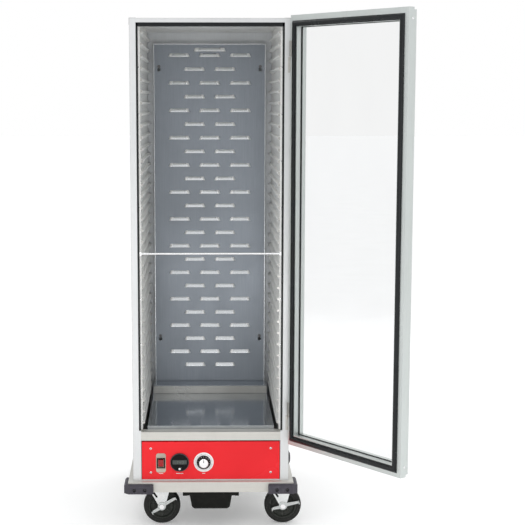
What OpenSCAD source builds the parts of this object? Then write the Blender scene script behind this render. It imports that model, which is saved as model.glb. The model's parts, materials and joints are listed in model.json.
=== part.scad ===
// Full-height heated holding and proofing cabinet on swivel casters, with its windowed door standing open.
// The cabinet itself is drawn about its own centre line: x across, y = 0 on the face of the front frame,
// y growing to the back, z = 0 on the floor. Everything is then moved so that the origin is the middle
// of the whole footprint, open door included.

/* [Cabinet] */
// Outside width of the body
body_w = 524; // [500:1:600]
// Outside depth of the body
body_d = 740; // [700:1:800]
// Height of the top skin above the floor
body_top = 1708; // [1650:1:1760]
// Height of the underside of the body
body_bottom = 174; // [174:1:180]
// Width of each upright of the front frame
post_w = 21; // [18:1:24]
// Depth of the front frame
post_d = 28; // [24:1:34]
// Height of the header strip over the opening
header_h = 14; // [12:1:20]
// Sheet thickness of the skins and liners
sheet_t = 1.2; // [1:0.1:2]

/* [Cavity] */
// Half of the clear width between the flat parts of the side liners
liner_half = 232; // [230:1:234]
// Distance from the front face to the back liner
cavity_d = 688; // [680:1:692]
// Height of the lowest pan ledge
ledge_z = 370.7; // [368:0.1:376]
// Spacing of the pan ledges
ledge_pitch = 38.1; // [36:0.1:38.1]
// Number of pan ledges on each side
ledge_count = 35; // [10:1:35]
// How far a ledge stands out of its liner
ledge_out = 10; // [6:1:11]
// Every so many ledges have a rivet and the first of them
rivet_every = 4; // [2:1:6]

/* [Duct panel] */
// Width of the louvred panel
duct_w = 416; // [410:2:420]
// Distance from the front face to the louvred panel
duct_y = 645; // [640:1:650]
// Height of the lowest row of louvres
louvre_z = 440; // [436:1:450]
// Spacing of the louvre rows
louvre_pitch = 50.6; // [48:0.1:50.8]
// Number of louvre rows
louvre_rows = 24; // [4:2:24]
// Length of one louvre
louvre_l = 74; // [60:1:80]

/* [Door] */
// How far the door stands open
door_open = 127; // [0:1:180]
// Height of the door's lower edge
door_z0 = 306.5; // [304:0.5:309]
// Height of the door's upper edge
door_z1 = 1715; // [1712:1:1730]
// How far the free edge overhangs the body
door_overhang = 4; // [0:1:6]
// Thickness of the inner frame of the door
door_t = 23; // [21:1:28]
// Thickness of the outer trim frame of the door
trim_t = 15; // [10:1:18]
// Thickness of the window pane
pane_t = 4; // [3:1:5]

/* [Controls] */
// Height of the middle of the controls
control_z = 237; // [234:1:244]
// Sideways place of the power switch
switch_x = -168; // [-172:1:-164]
// Sideways place of the thermometer
meter_x = -105; // [-108:1:-102]
// Sideways place of the thermostat
dial_x = -24; // [-30:1:0]

/* [Base] */
// Height of the lower edge of the base frame
base_z = 139; // [138:1:142]
// How far the base frame stands out past the front and back
base_out = 22; // [18:1:26]
// How far the corner bumpers stand out of the base frame
bumper_t = 14; // [10:1:18]
// Diameter of the wheels
wheel_d = 127; // [120:1:127]
// Width of the wheels
wheel_w = 32; // [28:1:34]
// Distance from a caster's swivel axis to its axle
caster_trail = 40; // [34:1:42]

/* [Hidden] */
$fn = 48;

half_w = body_w / 2;
opening_half = half_w - post_w;
opening_top = body_top - header_h;
ceiling_z = opening_top + 1;
cheek_half = liner_half + 2;
cheek_top = 346;
sill_z = 312;
sill_top = 341;
sill_d = 43;
deck_z = 352;
deck_half = 214;
deck_front = 45;
riser_y = 555;
riser_top = 382;
liner_bottom = body_bottom + 2;
flange_y = 20;

panel_z0 = 178;
panel_z1 = 308;
panel_half = cheek_half - 2;
panel_t = 1.5;
panel_screw_x = 202;
panel_screws_z = [201.5, 284.5];

base_half = half_w + 16;
base_wall = 3;
base_y0 = -base_out;
base_y1 = body_d + base_out;
bumper_leg = 99;
bumper_half = base_half + bumper_t;
bumper_z = [136, 168];

caster_x = 208;
caster_y = 90;
mount_plate_z = 157;
caster_plate_t = 3.5;
crown_z = 129.5;
crown_t = 3.5;
leg_in = wheel_w / 2 + 3.5;
leg_t = 3.5;
axle_r = 6;
kingpin_r = 6;
fit_gap = 0.05;
clear = 0.4;

hinge_x = half_w + 2.5;
hinge_y = -20;
hinge_r = 4.5;
pin_r = 2.5;
leaf_h = 50;
leaf_t = 3;
leaf_gap = 1;
hinge_screw_r = 1.7;
hinge_tops = [1635, 449];
door_gap = 8;
door_x0 = -half_w - door_overhang;
door_x1 = hinge_x - hinge_r - 0.5;
door_y0 = -door_gap;
door_y1 = door_y0 - door_t;
trim_y1 = door_y1 - trim_t;
window_half = 228;
window_z0 = 343;
window_z1 = 1678;
rebate = 9;
seal_t = 1.5;
gasket_out = 250;
gasket_w = 18.5;
gasket_h = door_gap - clear;
gasket_z0 = 320;
gasket_z1 = 1697;
handle_x = -240;
grip_x = -200;
grip_out = 20;

rail_half = 95;
rail_z = 122;
rail_l = 328;
drip_y = -8;
drip_l = 325;
drip_half = 73;
drip_depth = 56;

// The corners of the open door that reach furthest, for the middle of the footprint
function door_point(x, y) = [
    hinge_x + (x - hinge_x) * cos(door_open) - (y - hinge_y) * sin(door_open),
    hinge_y + (x - hinge_x) * sin(door_open) + (y - hinge_y) * cos(door_open)
];
door_corners = [
    door_point(door_x0, door_y0),
    door_point(door_x0, door_y1),
    door_point(door_x0 + 3, trim_y1),
    door_point(handle_x, trim_y1 - grip_out),
    [bumper_half, base_y0 - bumper_t]
];
middle_x = (max([for (p = door_corners) p[0]]) - bumper_half) / 2;
middle_y = (min([for (p = door_corners) p[1]]) + base_y1 + bumper_t) / 2;

// Name, sideways place, place front to back, direction of trail, and the side lever's lean
casters = [
    [-caster_x, caster_y, 0, 30],
    [caster_x, caster_y, 0, 12],
    [-caster_x, body_d - caster_y, 75, 0],
    [caster_x, body_d - caster_y, 110, 0]
];

// ---- shared shapes ----

// Moves the cabinet so that the middle of its footprint is the origin
module placed() {
    translate([-middle_x, -middle_y, 0]) children();
}

// Swings what is drawn for the closed door to where the door stands
module on_door() {
    placed() translate([hinge_x, hinge_y, 0]) rotate([0, 0, door_open]) translate([-hinge_x, -hinge_y, 0])
        children();
}

// A box between two corners
module span(a, b) {
    translate([min(a[0], b[0]), min(a[1], b[1]), min(a[2], b[2])])
        cube([abs(b[0] - a[0]), abs(b[1] - a[1]), abs(b[2] - a[2])]);
}

// The same shape on the left and on the right
module both_sides() {
    children();
    mirror([1, 0, 0]) children();
}

// A cylinder that points to the front, with its back end at y = 0
module stub(r, l) {
    rotate([90, 0, 0]) cylinder(r = r, h = l);
}

// A rounded rectangle about the origin
module rounded(w, h, r) {
    square([w - 2 * r, h], center = true);
    square([w, h - 2 * r], center = true);
    for (x = [-1, 1], y = [-1, 1])
        translate([x * (w / 2 - r), y * (h / 2 - r)]) circle(r = r);
}

// A rounded plate that faces the front, with its back at y = 0
module face_plate(w, h, r, t) {
    rotate([90, 0, 0]) linear_extrude(t) rounded(w, h, r);
}

// A rectangular ring that faces the front, between its outer and inner edges
module ring(x0, x1, z0, z1, ix0, ix1, iz0, iz1, y0, y1) {
    difference() {
        span([x0, y0, z0], [x1, y1, z1]);
        span([ix0, min(y0, y1) - 1, iz0], [ix1, max(y0, y1) + 1, iz1]);
    }
}

// A pan-head screw that faces the front, its head's back at y = 0, with a cross recess
module screw(r, shank_r, shank_l) {
    difference() {
        union() {
            stub(r, r * 0.3);
            translate([0, -r * 0.3, 0]) rotate([90, 0, 0]) cylinder(r1 = r, r2 = r * 0.55, h = r * 0.25);
            translate([0, shank_l, 0]) stub(shank_r, shank_l + 0.1);
        }
        for (a = [0, 90])
            translate([0, -r * 0.55, 0]) rotate([0, a, 0]) cube([r * 0.9, r * 0.5, r * 0.18], center = true);
    }
}

// Hole for a screw whose head lies on y = 0
module screw_hole(r, l) {
    translate([0, l + 0.5, 0]) stub(r + fit_gap, l + 1.5);
}

// ---- body shell ----

module skin_right() {
    color("gainsboro") placed()
        span([half_w - sheet_t, 0, body_bottom], [half_w, body_d, body_top]);
}

module skin_left() {
    color("gainsboro") placed()
        span([-half_w, 0, body_bottom], [sheet_t - half_w, body_d, body_top]);
}

module skin_top() {
    color("whitesmoke") placed()
        span([sheet_t - half_w, 0, body_top - sheet_t], [half_w - sheet_t, body_d - sheet_t, body_top]);
}

module skin_back() {
    inlet_x = 170;
    color("gainsboro") placed() difference() {
        span([sheet_t - half_w, body_d - sheet_t, body_bottom], [half_w - sheet_t, body_d, body_top]);
        span([inlet_x - 14, body_d - 5, control_z - 10], [inlet_x + 14, body_d + 5, control_z + 10]);
    }
}

module floor_pan() {
    color("silver") placed()
        span([sheet_t - half_w, post_d, body_bottom], [half_w - sheet_t, body_d - sheet_t, liner_bottom]);
}

module insulation() {
    slab_x = liner_half + sheet_t;
    slab_y = cavity_d + sheet_t;
    inlet_x = 170;
    color("khaki") placed() {
        both_sides()
            span([slab_x, post_d, liner_bottom], [half_w - sheet_t, body_d - sheet_t, body_top - sheet_t]);
        difference() {
            span([-slab_x, slab_y, liner_bottom], [slab_x, body_d - sheet_t, body_top - sheet_t]);
            span([inlet_x - 20, slab_y - 1, control_z - 16], [inlet_x + 20, body_d, control_z + 16]);
        }
        span([-slab_x, post_d, ceiling_z + sheet_t], [slab_x, slab_y, body_top - sheet_t]);
    }
}

// ---- cavity ----

function rivet_heights() = [for (k = [3 : rivet_every : ledge_count - 1]) ledge_z + k * ledge_pitch];

module side_liners() {
    mouth_z0 = cheek_top + clear;
    mouth_z1 = opening_top - clear;
    color("darkgray") placed() both_sides() difference() {
        union() {
            span([liner_half, post_d, liner_bottom], [liner_half + sheet_t, cavity_d, ceiling_z]);
            span([liner_half, flange_y, mouth_z0], [liner_half + sheet_t, post_d + 1, mouth_z1]);
            // Flat strip that carries the rivets, at the mouth of the cavity
            span([liner_half - 3, flange_y, mouth_z0], [opening_half - 5, flange_y + sheet_t, mouth_z1]);
        }
        for (z = rivet_heights()) translate([liner_half + 1, flange_y + 5, z]) stub(1.6, 10);
    }
}

// Tapered channels, one above the other up both liners, that carry the pans
module pan_ledges() {
    front = flange_y + sheet_t + 2;
    length = cavity_d - 2 - front;
    out = ledge_out;
    color("darkgray") placed() both_sides() for (k = [0 : ledge_count - 1])
        translate([liner_half, front, ledge_z + k * ledge_pitch]) rotate([90, 0, 0])
            mirror([0, 0, 1]) linear_extrude(length) polygon([
                [0, -8], [-out, -4.5], [-out, 1.5], [0, 4],
                [0, 2.6], [sheet_t - out, 0.6], [sheet_t - out, -3.8], [0, -6.7]
            ]);
}

module liner_ceiling() {
    color("silver") placed()
        span([-liner_half - sheet_t, post_d, ceiling_z], [liner_half + sheet_t, cavity_d + sheet_t, ceiling_z + sheet_t]);
}

module liner_back() {
    color("lightslategray") placed()
        span([-liner_half - sheet_t, cavity_d, liner_bottom], [liner_half + sheet_t, cavity_d + sheet_t, ceiling_z]);
}

module liner_rivets() {
    color("white") placed() both_sides() for (z = rivet_heights())
        translate([liner_half + 1, flange_y, z]) {
            rotate([90, 0, 0]) cylinder(r1 = 3, r2 = 1.8, h = 1.2);
            translate([0, 3.2, 0]) stub(1.5, 3.3);
        }
}

module brace_rod() {
    rod_z = ledge_z + 15 * ledge_pitch;
    color("silver") placed() {
        translate([-liner_half + 3.2, flange_y - 3.6, rod_z]) rotate([0, 90, 0])
            cylinder(r = 3.4, h = 2 * liner_half - 6.4);
        // Flattened ends against the liner strips
        both_sides() span([liner_half - 3, flange_y - 3, rod_z - 6], [liner_half + 4, flange_y - 1.2, rod_z + 6]);
    }
}

// ---- front frame ----

module front_frame() {
    wall = 2;
    top = body_top - sheet_t;
    outer = half_w - sheet_t;
    color("ghostwhite") placed() difference() {
        union() {
            both_sides() difference() {
                union() {
                    span([opening_half, 0, body_bottom], [outer, post_d, top]);
                    span([cheek_half, 0, body_bottom], [opening_half, post_d, cheek_top]);
                }
                span([opening_half + wall, wall, body_bottom - 1], [outer - wall, post_d - wall, top - header_h]);
            }
            span([-opening_half, 0, opening_top], [opening_half, post_d, top]);
            // Strip under the control panel
            span([-cheek_half, 0.5, body_bottom], [cheek_half, post_d, panel_z0]);
        }
        // Screws of the hinge leaves
        for (leaf_top = [for (top = hinge_tops) top - leaf_h - leaf_gap], z = [leaf_top - leaf_h + 8, leaf_top - 10])
            translate([gasket_out + 6, 0, z]) screw_hole(hinge_screw_r, 5);
    }
}

module sill() {
    wall = 2;
    color("seashell") placed() difference() {
        union() {
            span([-cheek_half, 0, sill_z], [cheek_half, post_d, sill_top]);
            span([clear - liner_half, 0, sill_z], [liner_half - clear, sill_d, sill_top]);
        }
        span([wall - cheek_half, wall, sill_z - 1], [cheek_half - wall, sill_d + 1, sill_top - wall]);
    }
}

// ---- louvred duct panel ----

// One louvre: a hood pressed out to the front, open along its lower edge
module louvre(l) {
    hood = 5;
    rise = 9;
    difference() {
        translate([-l / 2, 0, 0]) rotate([90, 0, 90]) linear_extrude(l)
            polygon([[0.2, 0], [-hood, 0], [-hood, 2], [-hood * 0.6, 6], [0.2, rise]]);
        translate([1 - l / 2, 0, -1]) rotate([90, 0, 90]) linear_extrude(l - 2)
            polygon([[3, 0], [1 - hood, 0], [1 - hood, 2.6], [0.8 - hood * 0.6, 5.9], [0.2, 7.6], [3, 7.6]]);
    }
}

louvre_step = 113.5;

// Sideways places of the louvres: three in the even rows from the top, two in the odd ones
function louvre_xs(row) = row % 2 == 1
    ? [-louvre_step, 0, louvre_step]
    : [-louvre_step / 2, louvre_step / 2];

stud_x = 188;
stud_zs = [557, 1569];
stud_r = 3;

// A keyhole seen from the front: a round entry under a narrow slot
module keyhole() {
    drop = 12;
    slot_r = stud_r + 0.3;
    rotate([90, 0, 0]) translate([0, 0, -2]) {
        cylinder(r = slot_r, h = 4);
        translate([0, -drop, 0]) cylinder(r = stud_r + 3.5, h = 4);
        translate([-slot_r, -drop, 0]) cube([2 * slot_r, drop, 4]);
    }
}

module duct_panel() {
    z0 = 366;
    z1 = 1652;
    back = cavity_d - clear;
    front = duct_y - sheet_t;
    top_louvre_z = 1624;
    top_louvre_l = 120;
    slot_h = 6;
    half = duct_w / 2;
    color("slategray") placed() {
        difference() {
            span([-half, front, z0], [half, duct_y, z1]);
            for (x = [-stud_x, stud_x], z = stud_zs) translate([x, duct_y, z]) keyhole();
            for (row = [0 : louvre_rows - 1], x = louvre_xs(row))
                translate([x - louvre_l / 2 + 1, front - 1, louvre_z + row * louvre_pitch])
                    cube([louvre_l - 2, 4, slot_h]);
            span([1 - top_louvre_l / 2, front - 1, top_louvre_z], [top_louvre_l / 2 - 1, duct_y + 1, top_louvre_z + slot_h]);
        }
        both_sides() span([half - sheet_t, duct_y, z0], [half, back, z1]);
        for (row = [0 : louvre_rows - 1], x = louvre_xs(row))
            translate([x, front, louvre_z + row * louvre_pitch]) louvre(louvre_l);
        translate([0, front, top_louvre_z]) louvre(top_louvre_l);
    }
}

module duct_studs() {
    color("white") placed() for (x = [-stud_x, stud_x], z = stud_zs)
        translate([x, cavity_d, z]) {
            stub(5.5, cavity_d - duct_y - clear);
            stub(stud_r, cavity_d - duct_y + sheet_t + clear + 0.1);
            translate([0, duct_y - cavity_d - sheet_t - clear, 0]) stub(5.6, 2.4);
        }
}

// ---- heating, under the deck ----

module heater_deck() {
    t = 1.5;
    back = duct_y - 5;
    lip = 19;
    color("lightsteelblue") placed() {
        span([-deck_half, deck_front, deck_z - t], [deck_half, riser_y + t, deck_z]);
        span([-deck_half, deck_front, deck_z - lip], [deck_half, deck_front + t, deck_z]);
        span([-deck_half, riser_y, deck_z - t], [deck_half, riser_y + t, riser_top]);
        span([-deck_half, riser_y, riser_top - t], [deck_half, back, riser_top]);
        both_sides() {
            span([deck_half - t, deck_front, deck_z - lip], [deck_half, riser_y + t, deck_z]);
            span([deck_half - t, riser_y, deck_z - lip], [deck_half, back, riser_top]);
            // Support angles that stand on the floor pan
            span([deck_half - 30, 120, liner_bottom], [deck_half - 28, 480, deck_z - t]);
        }
    }
}

module heater_element() {
    rod_r = 4;
    rod_z = 262;
    reach = [170, 430];
    pitch = 60;
    color("dimgray") placed() {
        for (k = [0 : 3]) translate([(k - 1.5) * pitch, reach[1], rod_z]) stub(rod_r, reach[1] - reach[0]);
        for (k = [0 : 2]) {
            far = k % 2 == 0;
            translate([(k - 1) * pitch, far ? reach[1] : reach[0], rod_z]) rotate([0, 0, far ? 0 : 180])
                rotate_extrude(angle = 180) translate([pitch / 2, 0]) circle(r = rod_r, $fn = 24);
        }
        // Stands that hold the rods over the floor pan
        for (y = [210, 390])
            span([-2 * pitch, y, liner_bottom], [2 * pitch, y + 2, rod_z]);
    }
}

fan_y = 597;
shaft_r = 4;

module fan_motor() {
    color("darkslategray") placed() translate([0, fan_y, 0]) {
        span([-50, -50, liner_bottom], [50, 50, liner_bottom + 2]);
        for (x = [-1, 1]) span([x * 44, -40, liner_bottom], [x * 42, 40, 215]);
        span([-44, -40, 213], [44, 40, 215]);
        translate([0, 0, 215]) cylinder(r = 36, h = 50);
        translate([0, 0, 265]) cylinder(r = 12, h = 8);
        translate([0, 0, 273]) cylinder(r = shaft_r, h = 52);
    }
}

module fan_impeller() {
    blades = 9;
    color("silver") placed() translate([0, fan_y, 280]) difference() {
        union() {
            cylinder(r = 54, h = 2);
            cylinder(r = 12, h = 36);
            for (k = [0 : blades - 1]) rotate([0, 0, k * 360 / blades]) translate([8, -0.75, 1])
                cube([42, 1.5, 31]);
        }
        translate([0, 0, -1]) cylinder(r = shaft_r + fit_gap, h = 50);
    }
}

// ---- controls ----

module control_panel() {
    depth = 16;
    color("crimson") placed() difference() {
        union() {
            span([-panel_half, 0, panel_z0], [panel_half, panel_t, panel_z1]);
            for (z = [panel_z0, panel_z1 - panel_t])
                span([-panel_half, panel_t - 0.1, z], [panel_half, depth, z + panel_t]);
        }
        translate([switch_x, 5, control_z - 2]) face_plate(19.6, 28.6, 2, 10);
        translate([meter_x, 5, control_z]) stub(26, 10);
        translate([dial_x, 5, control_z]) stub(5, 10);
        for (x = [-panel_screw_x, panel_screw_x], z = panel_screws_z)
            translate([x, 5, z]) stub(2.6, 10);
    }
}

module front_screws() {
    bumper_screw_l = bumper_t - 6.3;
    color("white") placed() {
        for (x = [-panel_screw_x, panel_screw_x], z = panel_screws_z)
            translate([x, 0, z]) screw(4.6, 2.4, 12);
        // Two in each front bumper and two in each rear one
        for (side = [-1, 1], x = [222, 257]) {
            translate([side * x, base_y0 - bumper_t + 6, 149]) screw(4.4, 2.3, bumper_screw_l);
            translate([side * x, base_y1 + bumper_t - 6, 149]) rotate([0, 0, 180]) screw(4.4, 2.3, bumper_screw_l);
        }
    }
}

module switch_bezel() {
    color("lightgray") placed() translate([switch_x, 0, control_z - 2]) {
        difference() {
            face_plate(33, 66, 8, 1.6);
            translate([0, 1, 0]) face_plate(19.4, 28.4, 2, 4);
        }
        // Switch body, clipped through the panel
        translate([0, -1.6, 0]) difference() {
            face_plate(25.5, 34.5, 3, 2.4);
            translate([0, 1, 0]) face_plate(18.6, 27.6, 1.5, 5);
        }
        difference() {
            translate([0, 20, 0]) face_plate(19.2, 28.2, 1.8, 21);
            translate([0, 12, 0]) face_plate(18.4, 27.4, 1.5, 15);
        }
    }
}

module switch_rocker() {
    tilt = 8;
    color("red") placed() translate([switch_x, 2, control_z - 2]) rotate([tilt, 0, 0]) {
        translate([0, 0, 0]) face_plate(17.4, 24.6, 1.2, 5.2);
        rotate([0, 90, 0]) cylinder(r = 3, h = 17.4, center = true);
    }
}

module thermometer_case() {
    color("black") placed() translate([meter_x, 0, control_z]) difference() {
        union() {
            rotate([90, 0, 0]) cylinder(r = 31.5, h = 4);
            translate([0, -4, 0]) rotate([90, 0, 0]) cylinder(r1 = 31.5, r2 = 29.5, h = 2);
            translate([0, 24, 0]) stub(25.6, 24.1);
        }
        translate([0, -4.6, 1]) face_plate(49, 15.4, 2, 10);
        translate([0, -0.8, -22]) stub(4.6, 10);
    }
}

module thermometer_screen() {
    color("lightslategray") placed() translate([meter_x, -4.6, control_z + 1]) face_plate(48.4, 14.8, 1.8, 0.8);
}

module thermometer_button() {
    color("silver") placed() translate([meter_x, -3, control_z - 22]) {
        stub(4.2, 3.4);
        translate([0, -3.4, 0]) rotate([90, 0, 0]) cylinder(r1 = 4.2, r2 = 3.4, h = 0.8);
    }
}

module dial_plate() {
    plate_r = 33.5;
    color("white") placed() translate([dial_x, 0, control_z]) difference() {
        union() {
            stub(plate_r, 1.2);
            // Raised marks round the edge
            for (a = [-135 : 27 : 135])
                rotate([0, a, 0]) translate([0, -1.2, plate_r - 4.5]) cube([1.2, 0.6, 5], center = true);
        }
        translate([0, 1, 0]) stub(5, 5);
    }
}

module thermostat_body() {
    color("dimgray") placed() translate([dial_x, 0, control_z]) {
        translate([-24, panel_t, -20]) cube([48, 34, 40]);
        translate([0, panel_t, 0]) stub(4.6, panel_t + 2.7);
        stub(3, 16);
    }
}

module thermostat_knob() {
    skirt_r = 23.5;
    cap_r = 16;
    cap_l = 14;
    flutes = 18;
    color("silver") placed() translate([dial_x, -3, control_z]) difference() {
        union() {
            rotate([90, 0, 0]) cylinder(r1 = skirt_r, r2 = skirt_r - 1.5, h = 4.5);
            translate([0, -4.4, 0]) rotate([90, 0, 0]) linear_extrude(cap_l) difference() {
                circle(r = cap_r);
                for (k = [0 : flutes - 1]) rotate(k * 360 / flutes) translate([cap_r + 0.8, 0]) circle(r = 1.6);
            }
            translate([0, -4.4 - cap_l, 0]) rotate([90, 0, 0]) cylinder(r1 = cap_r - 1.2, r2 = cap_r - 2.2, h = 1);
            // Pointer
            translate([-1.2, -6.2 - cap_l, 3]) cube([2.4, 2, cap_r - 6]);
        }
        translate([0, 1, 0]) stub(3 + fit_gap, 15);
        // Hollow back, clear of the collar of the thermostat
        translate([0, 1, 0]) stub(6, 4);
    }
}

module side_vent() {
    color("dimgray") placed() translate([half_w, 60, control_z]) rotate([0, 90, 0]) difference() {
        union() {
            cylinder(r = 23, h = 4);
            translate([0, 0, 4]) cylinder(r1 = 23, r2 = 14, h = 5);
        }
        for (k = [-2 : 2]) translate([-30, k * 7 - 1.2, 5]) cube([60, 2.4, 5]);
    }
}

module cord_inlet() {
    inlet_x = 170;
    flange_t = 3;
    color("black") placed() translate([inlet_x, body_d, control_z]) difference() {
        union() {
            translate([0, flange_t, 0]) face_plate(50, 32, 4, flange_t);
            translate([0, flange_t, 0]) face_plate(27, 19, 3, 34);
        }
        translate([0, flange_t + 1, 0]) face_plate(22, 14, 2, 19);
        for (x = [-20, 20]) translate([x, flange_t + 1, 0]) stub(1.8, 8);
    }
}

// ---- base ----

module base_frame() {
    gusset = 134;
    gusset_t = 4;
    lip = 20;
    inner = base_half - base_wall;
    color("linen") placed() {
        difference() {
            span([-base_half, base_y0, base_z], [base_half, base_y1, body_bottom]);
            span([-inner, base_y0 + base_wall, base_z + base_wall], [inner, base_y1 - base_wall, body_bottom - base_wall]);
            span([lip - inner, base_y0 + base_wall + lip, base_z - 1], [inner - lip, base_y1 - base_wall - lip, body_bottom + 1]);
        }
        for (x = [-1, 1], y = [0, 1]) difference() {
            translate([x > 0 ? inner - gusset : -inner,
                       y > 0 ? base_y1 - base_wall - gusset - 20 : base_y0 + base_wall, mount_plate_z])
                cube([gusset, gusset + 20, gusset_t]);
            at_bolts(x * caster_x, y > 0 ? body_d - caster_y : caster_y)
                translate([0, 0, mount_plate_z - 1]) cylinder(r = 4.4, h = gusset_t + 2);
        }
        // Cross member that holds the rear of the drip pan's rails
        span([-inner, 296, base_z], [inner, 299, body_bottom - base_wall]);
        span([-inner, 280, base_z], [inner, 296.1, base_z + base_wall]);
    }
}

// The four bolt places of a caster's top plate
module at_bolts(x, y) {
    for (dx = [-38, 38], dy = [-30, 30]) translate([x + dx, y + dy, 0]) children();
}

module bumper() {
    chamfer = 6;
    x0 = base_half + bumper_t - bumper_leg;
    x1 = bumper_half;
    y0 = base_y0 - bumper_t;
    difference() {
        union() {
            span([x0, y0, bumper_z[0]], [x1, y0 + bumper_leg, bumper_z[1] - chamfer]);
            span([x0 + chamfer / 2, y0 + chamfer, bumper_z[1] - chamfer - 0.1],
                 [x1 - chamfer, y0 + bumper_leg - chamfer / 2, bumper_z[1]]);
            // Sloped upper edges
            translate([x0, y0, bumper_z[1] - chamfer]) rotate([90, 0, 90])
                linear_extrude(bumper_leg) polygon([[0, 0], [chamfer + 1, 0], [chamfer + 1, chamfer], [chamfer, chamfer]]);
            translate([x1, y0 + bumper_leg, bumper_z[1] - chamfer]) rotate([90, 0, 0])
                linear_extrude(bumper_leg) polygon([[0, 0], [-chamfer - 1, 0], [-chamfer - 1, chamfer], [-chamfer, chamfer]]);
        }
        // Vertical corner is cut off
        translate([x1, y0, 100]) rotate([0, 0, 45]) cube([30, 22, 200], center = true);
        // The base frame sits in the inner angle
        span([x0 - 1, base_y0, 100], [base_half, y0 + bumper_leg + 1, 200]);
        for (x = [222, 257]) translate([x, y0 + 6, 149]) stub(6.5, 10);
        for (x = [222, 257]) translate([x, y0 + 30, 149]) stub(2.6, 40);
    }
}

module bumpers() {
    color("dimgray") placed() both_sides() {
        bumper();
        translate([0, body_d, 0]) mirror([0, 1, 0]) bumper();
    }
}

module pan_rails() {
    t = 1.5;
    top = base_z;
    color("black") placed() both_sides() {
        span([rail_half - 22, drip_y + 6, top - t], [rail_half, drip_y + rail_l, top]);
        span([rail_half - t, drip_y + 1, rail_z], [rail_half, drip_y + rail_l, top]);
        span([rail_half - 14, drip_y + 1, rail_z], [rail_half, drip_y + rail_l, rail_z + t]);
    }
}

// Solid with sides that lean in and round corners, for the outside and the inside of the drip pan
module pan_body(half, l, depth, lean, r) {
    hull() for (s = [0, 1]) {
        inset = s * lean;
        z = s * (depth - r);
        for (x = [-1, 1], y = [0, 1])
            translate([x * (half - inset - r), y > 0 ? l - inset - r : inset + r, -z])
                if (s == 0) translate([0, 0, -0.5]) cylinder(r = r, h = 0.5, $fn = 32);
                else sphere(r = r, $fn = 32);
    }
}

module drip_pan() {
    wall = 2;
    top = rail_z + 1.8;
    flange_half = rail_half - 2.2;
    flange_t = 3;
    color("black") placed() translate([0, drip_y, top + flange_t]) difference() {
        union() {
            translate([-flange_half, 0, -flange_t]) cube([2 * flange_half, drip_l, flange_t]);
            translate([0, 4, 0]) pan_body(drip_half, drip_l - 8, drip_depth, 7, 14);
            // Turned-up front edge, to pull it by
            translate([-flange_half, -2, -flange_t]) cube([2 * flange_half, 2.1, flange_t + 9]);
        }
        translate([0, 4 + wall, 0.1]) pan_body(drip_half - wall, drip_l - 8 - 2 * wall, drip_depth - wall, 7, 12);
    }
}

// ---- door, drawn closed ----

// Places (x, z) of the screws through the trim of the door
trim_screws = concat(
    [for (z = [door_z0 + 30 : 190 : door_z1 - 20], x = [door_x0 + 19, door_x1 - 16]) [x, z]],
    [for (x = [-120, 0, 120], z = [door_z0 + 24, door_z1 - 24]) [x, z]]
);
handle_screws = [for (z = [967, 1033]) [handle_x - 6, z]];
edge_screws_z = [door_z0 + 32, door_z1 - 32];
door_screw_r = 2;
door_screw_l = 10;

module edge_screw_place(z) {
    translate([door_x0, (door_y0 + door_y1) / 2 - 5, z]) rotate([0, 0, -90]) children();
}

module door_frame() {
    color("lightgray") on_door() difference() {
        span([door_x0, door_y0, door_z0], [door_x1, door_y1, door_z1]);
        span([-window_half, 1, window_z0], [window_half, -60, window_z1]);
        // Rebate for the pane and its seal
        span([-window_half - rebate, door_y1 + pane_t + seal_t, window_z0 - rebate],
             [window_half + rebate, -60, window_z1 + rebate]);
        for (z = edge_screws_z) edge_screw_place(z) screw_hole(door_screw_r, door_screw_l);
        for (top = hinge_tops, z = [top - leaf_h + 8, top - 8])
            translate([gasket_out + 5.5, door_y0 + 0.5, z]) rotate([0, 0, 180]) screw_hole(hinge_screw_r, 6);
    }
}

module door_trim() {
    side_in = 3;
    end_in = 7;
    lap = 2;
    bevel = 3;
    x0 = door_x0 + side_in;
    x1 = door_x1 - side_in;
    z0 = door_z0 + end_in;
    z1 = door_z1 - end_in;
    color("silver") on_door() difference() {
        union() {
            ring(x0, x1, z0, z1, lap - window_half, window_half - lap, window_z0 + lap, window_z1 - lap,
                 door_y1, trim_y1 + bevel);
            ring(x0 + bevel, x1 - bevel, z0 + bevel, z1 - bevel,
                 lap - window_half, window_half - lap, window_z0 + lap, window_z1 - lap, trim_y1 + bevel + 0.1, trim_y1);
        }
        for (place = concat(trim_screws, handle_screws))
            translate([place[0], trim_y1, place[1]]) screw_hole(door_screw_r, door_screw_l);
    }
}

module door_window() {
    edge = rebate - 1;
    color("azure", 0.4) on_door()
        span([-window_half - edge, door_y1 + pane_t, window_z0 - edge],
             [window_half + edge, door_y1, window_z1 + edge]);
}

module window_seal() {
    edge = rebate - 0.5;
    y = door_y1 + pane_t;
    color("dimgray") on_door()
        ring(-window_half - edge, window_half + edge, window_z0 - edge, window_z1 + edge,
             2 - window_half, window_half - 2, window_z0 + 2, window_z1 - 2, y, y + seal_t);
}

module door_gasket() {
    inner = gasket_out - gasket_w;
    core = 4;
    color("darkslategray") on_door() {
        // Flat dart strip and the softer hollow bulb on it
        ring(-gasket_out, gasket_out, gasket_z0, gasket_z1,
             -inner, inner, gasket_z0 + gasket_w, gasket_z1 - gasket_w, door_y0, door_y0 + 3);
        ring(-gasket_out + core, gasket_out - core, gasket_z0 + core, gasket_z1 - core,
             -inner - 2, inner + 2, gasket_z0 + gasket_w - 2, gasket_z1 - gasket_w + 2,
             door_y0 + 2.9, door_y0 + gasket_h);
    }
}

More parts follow.
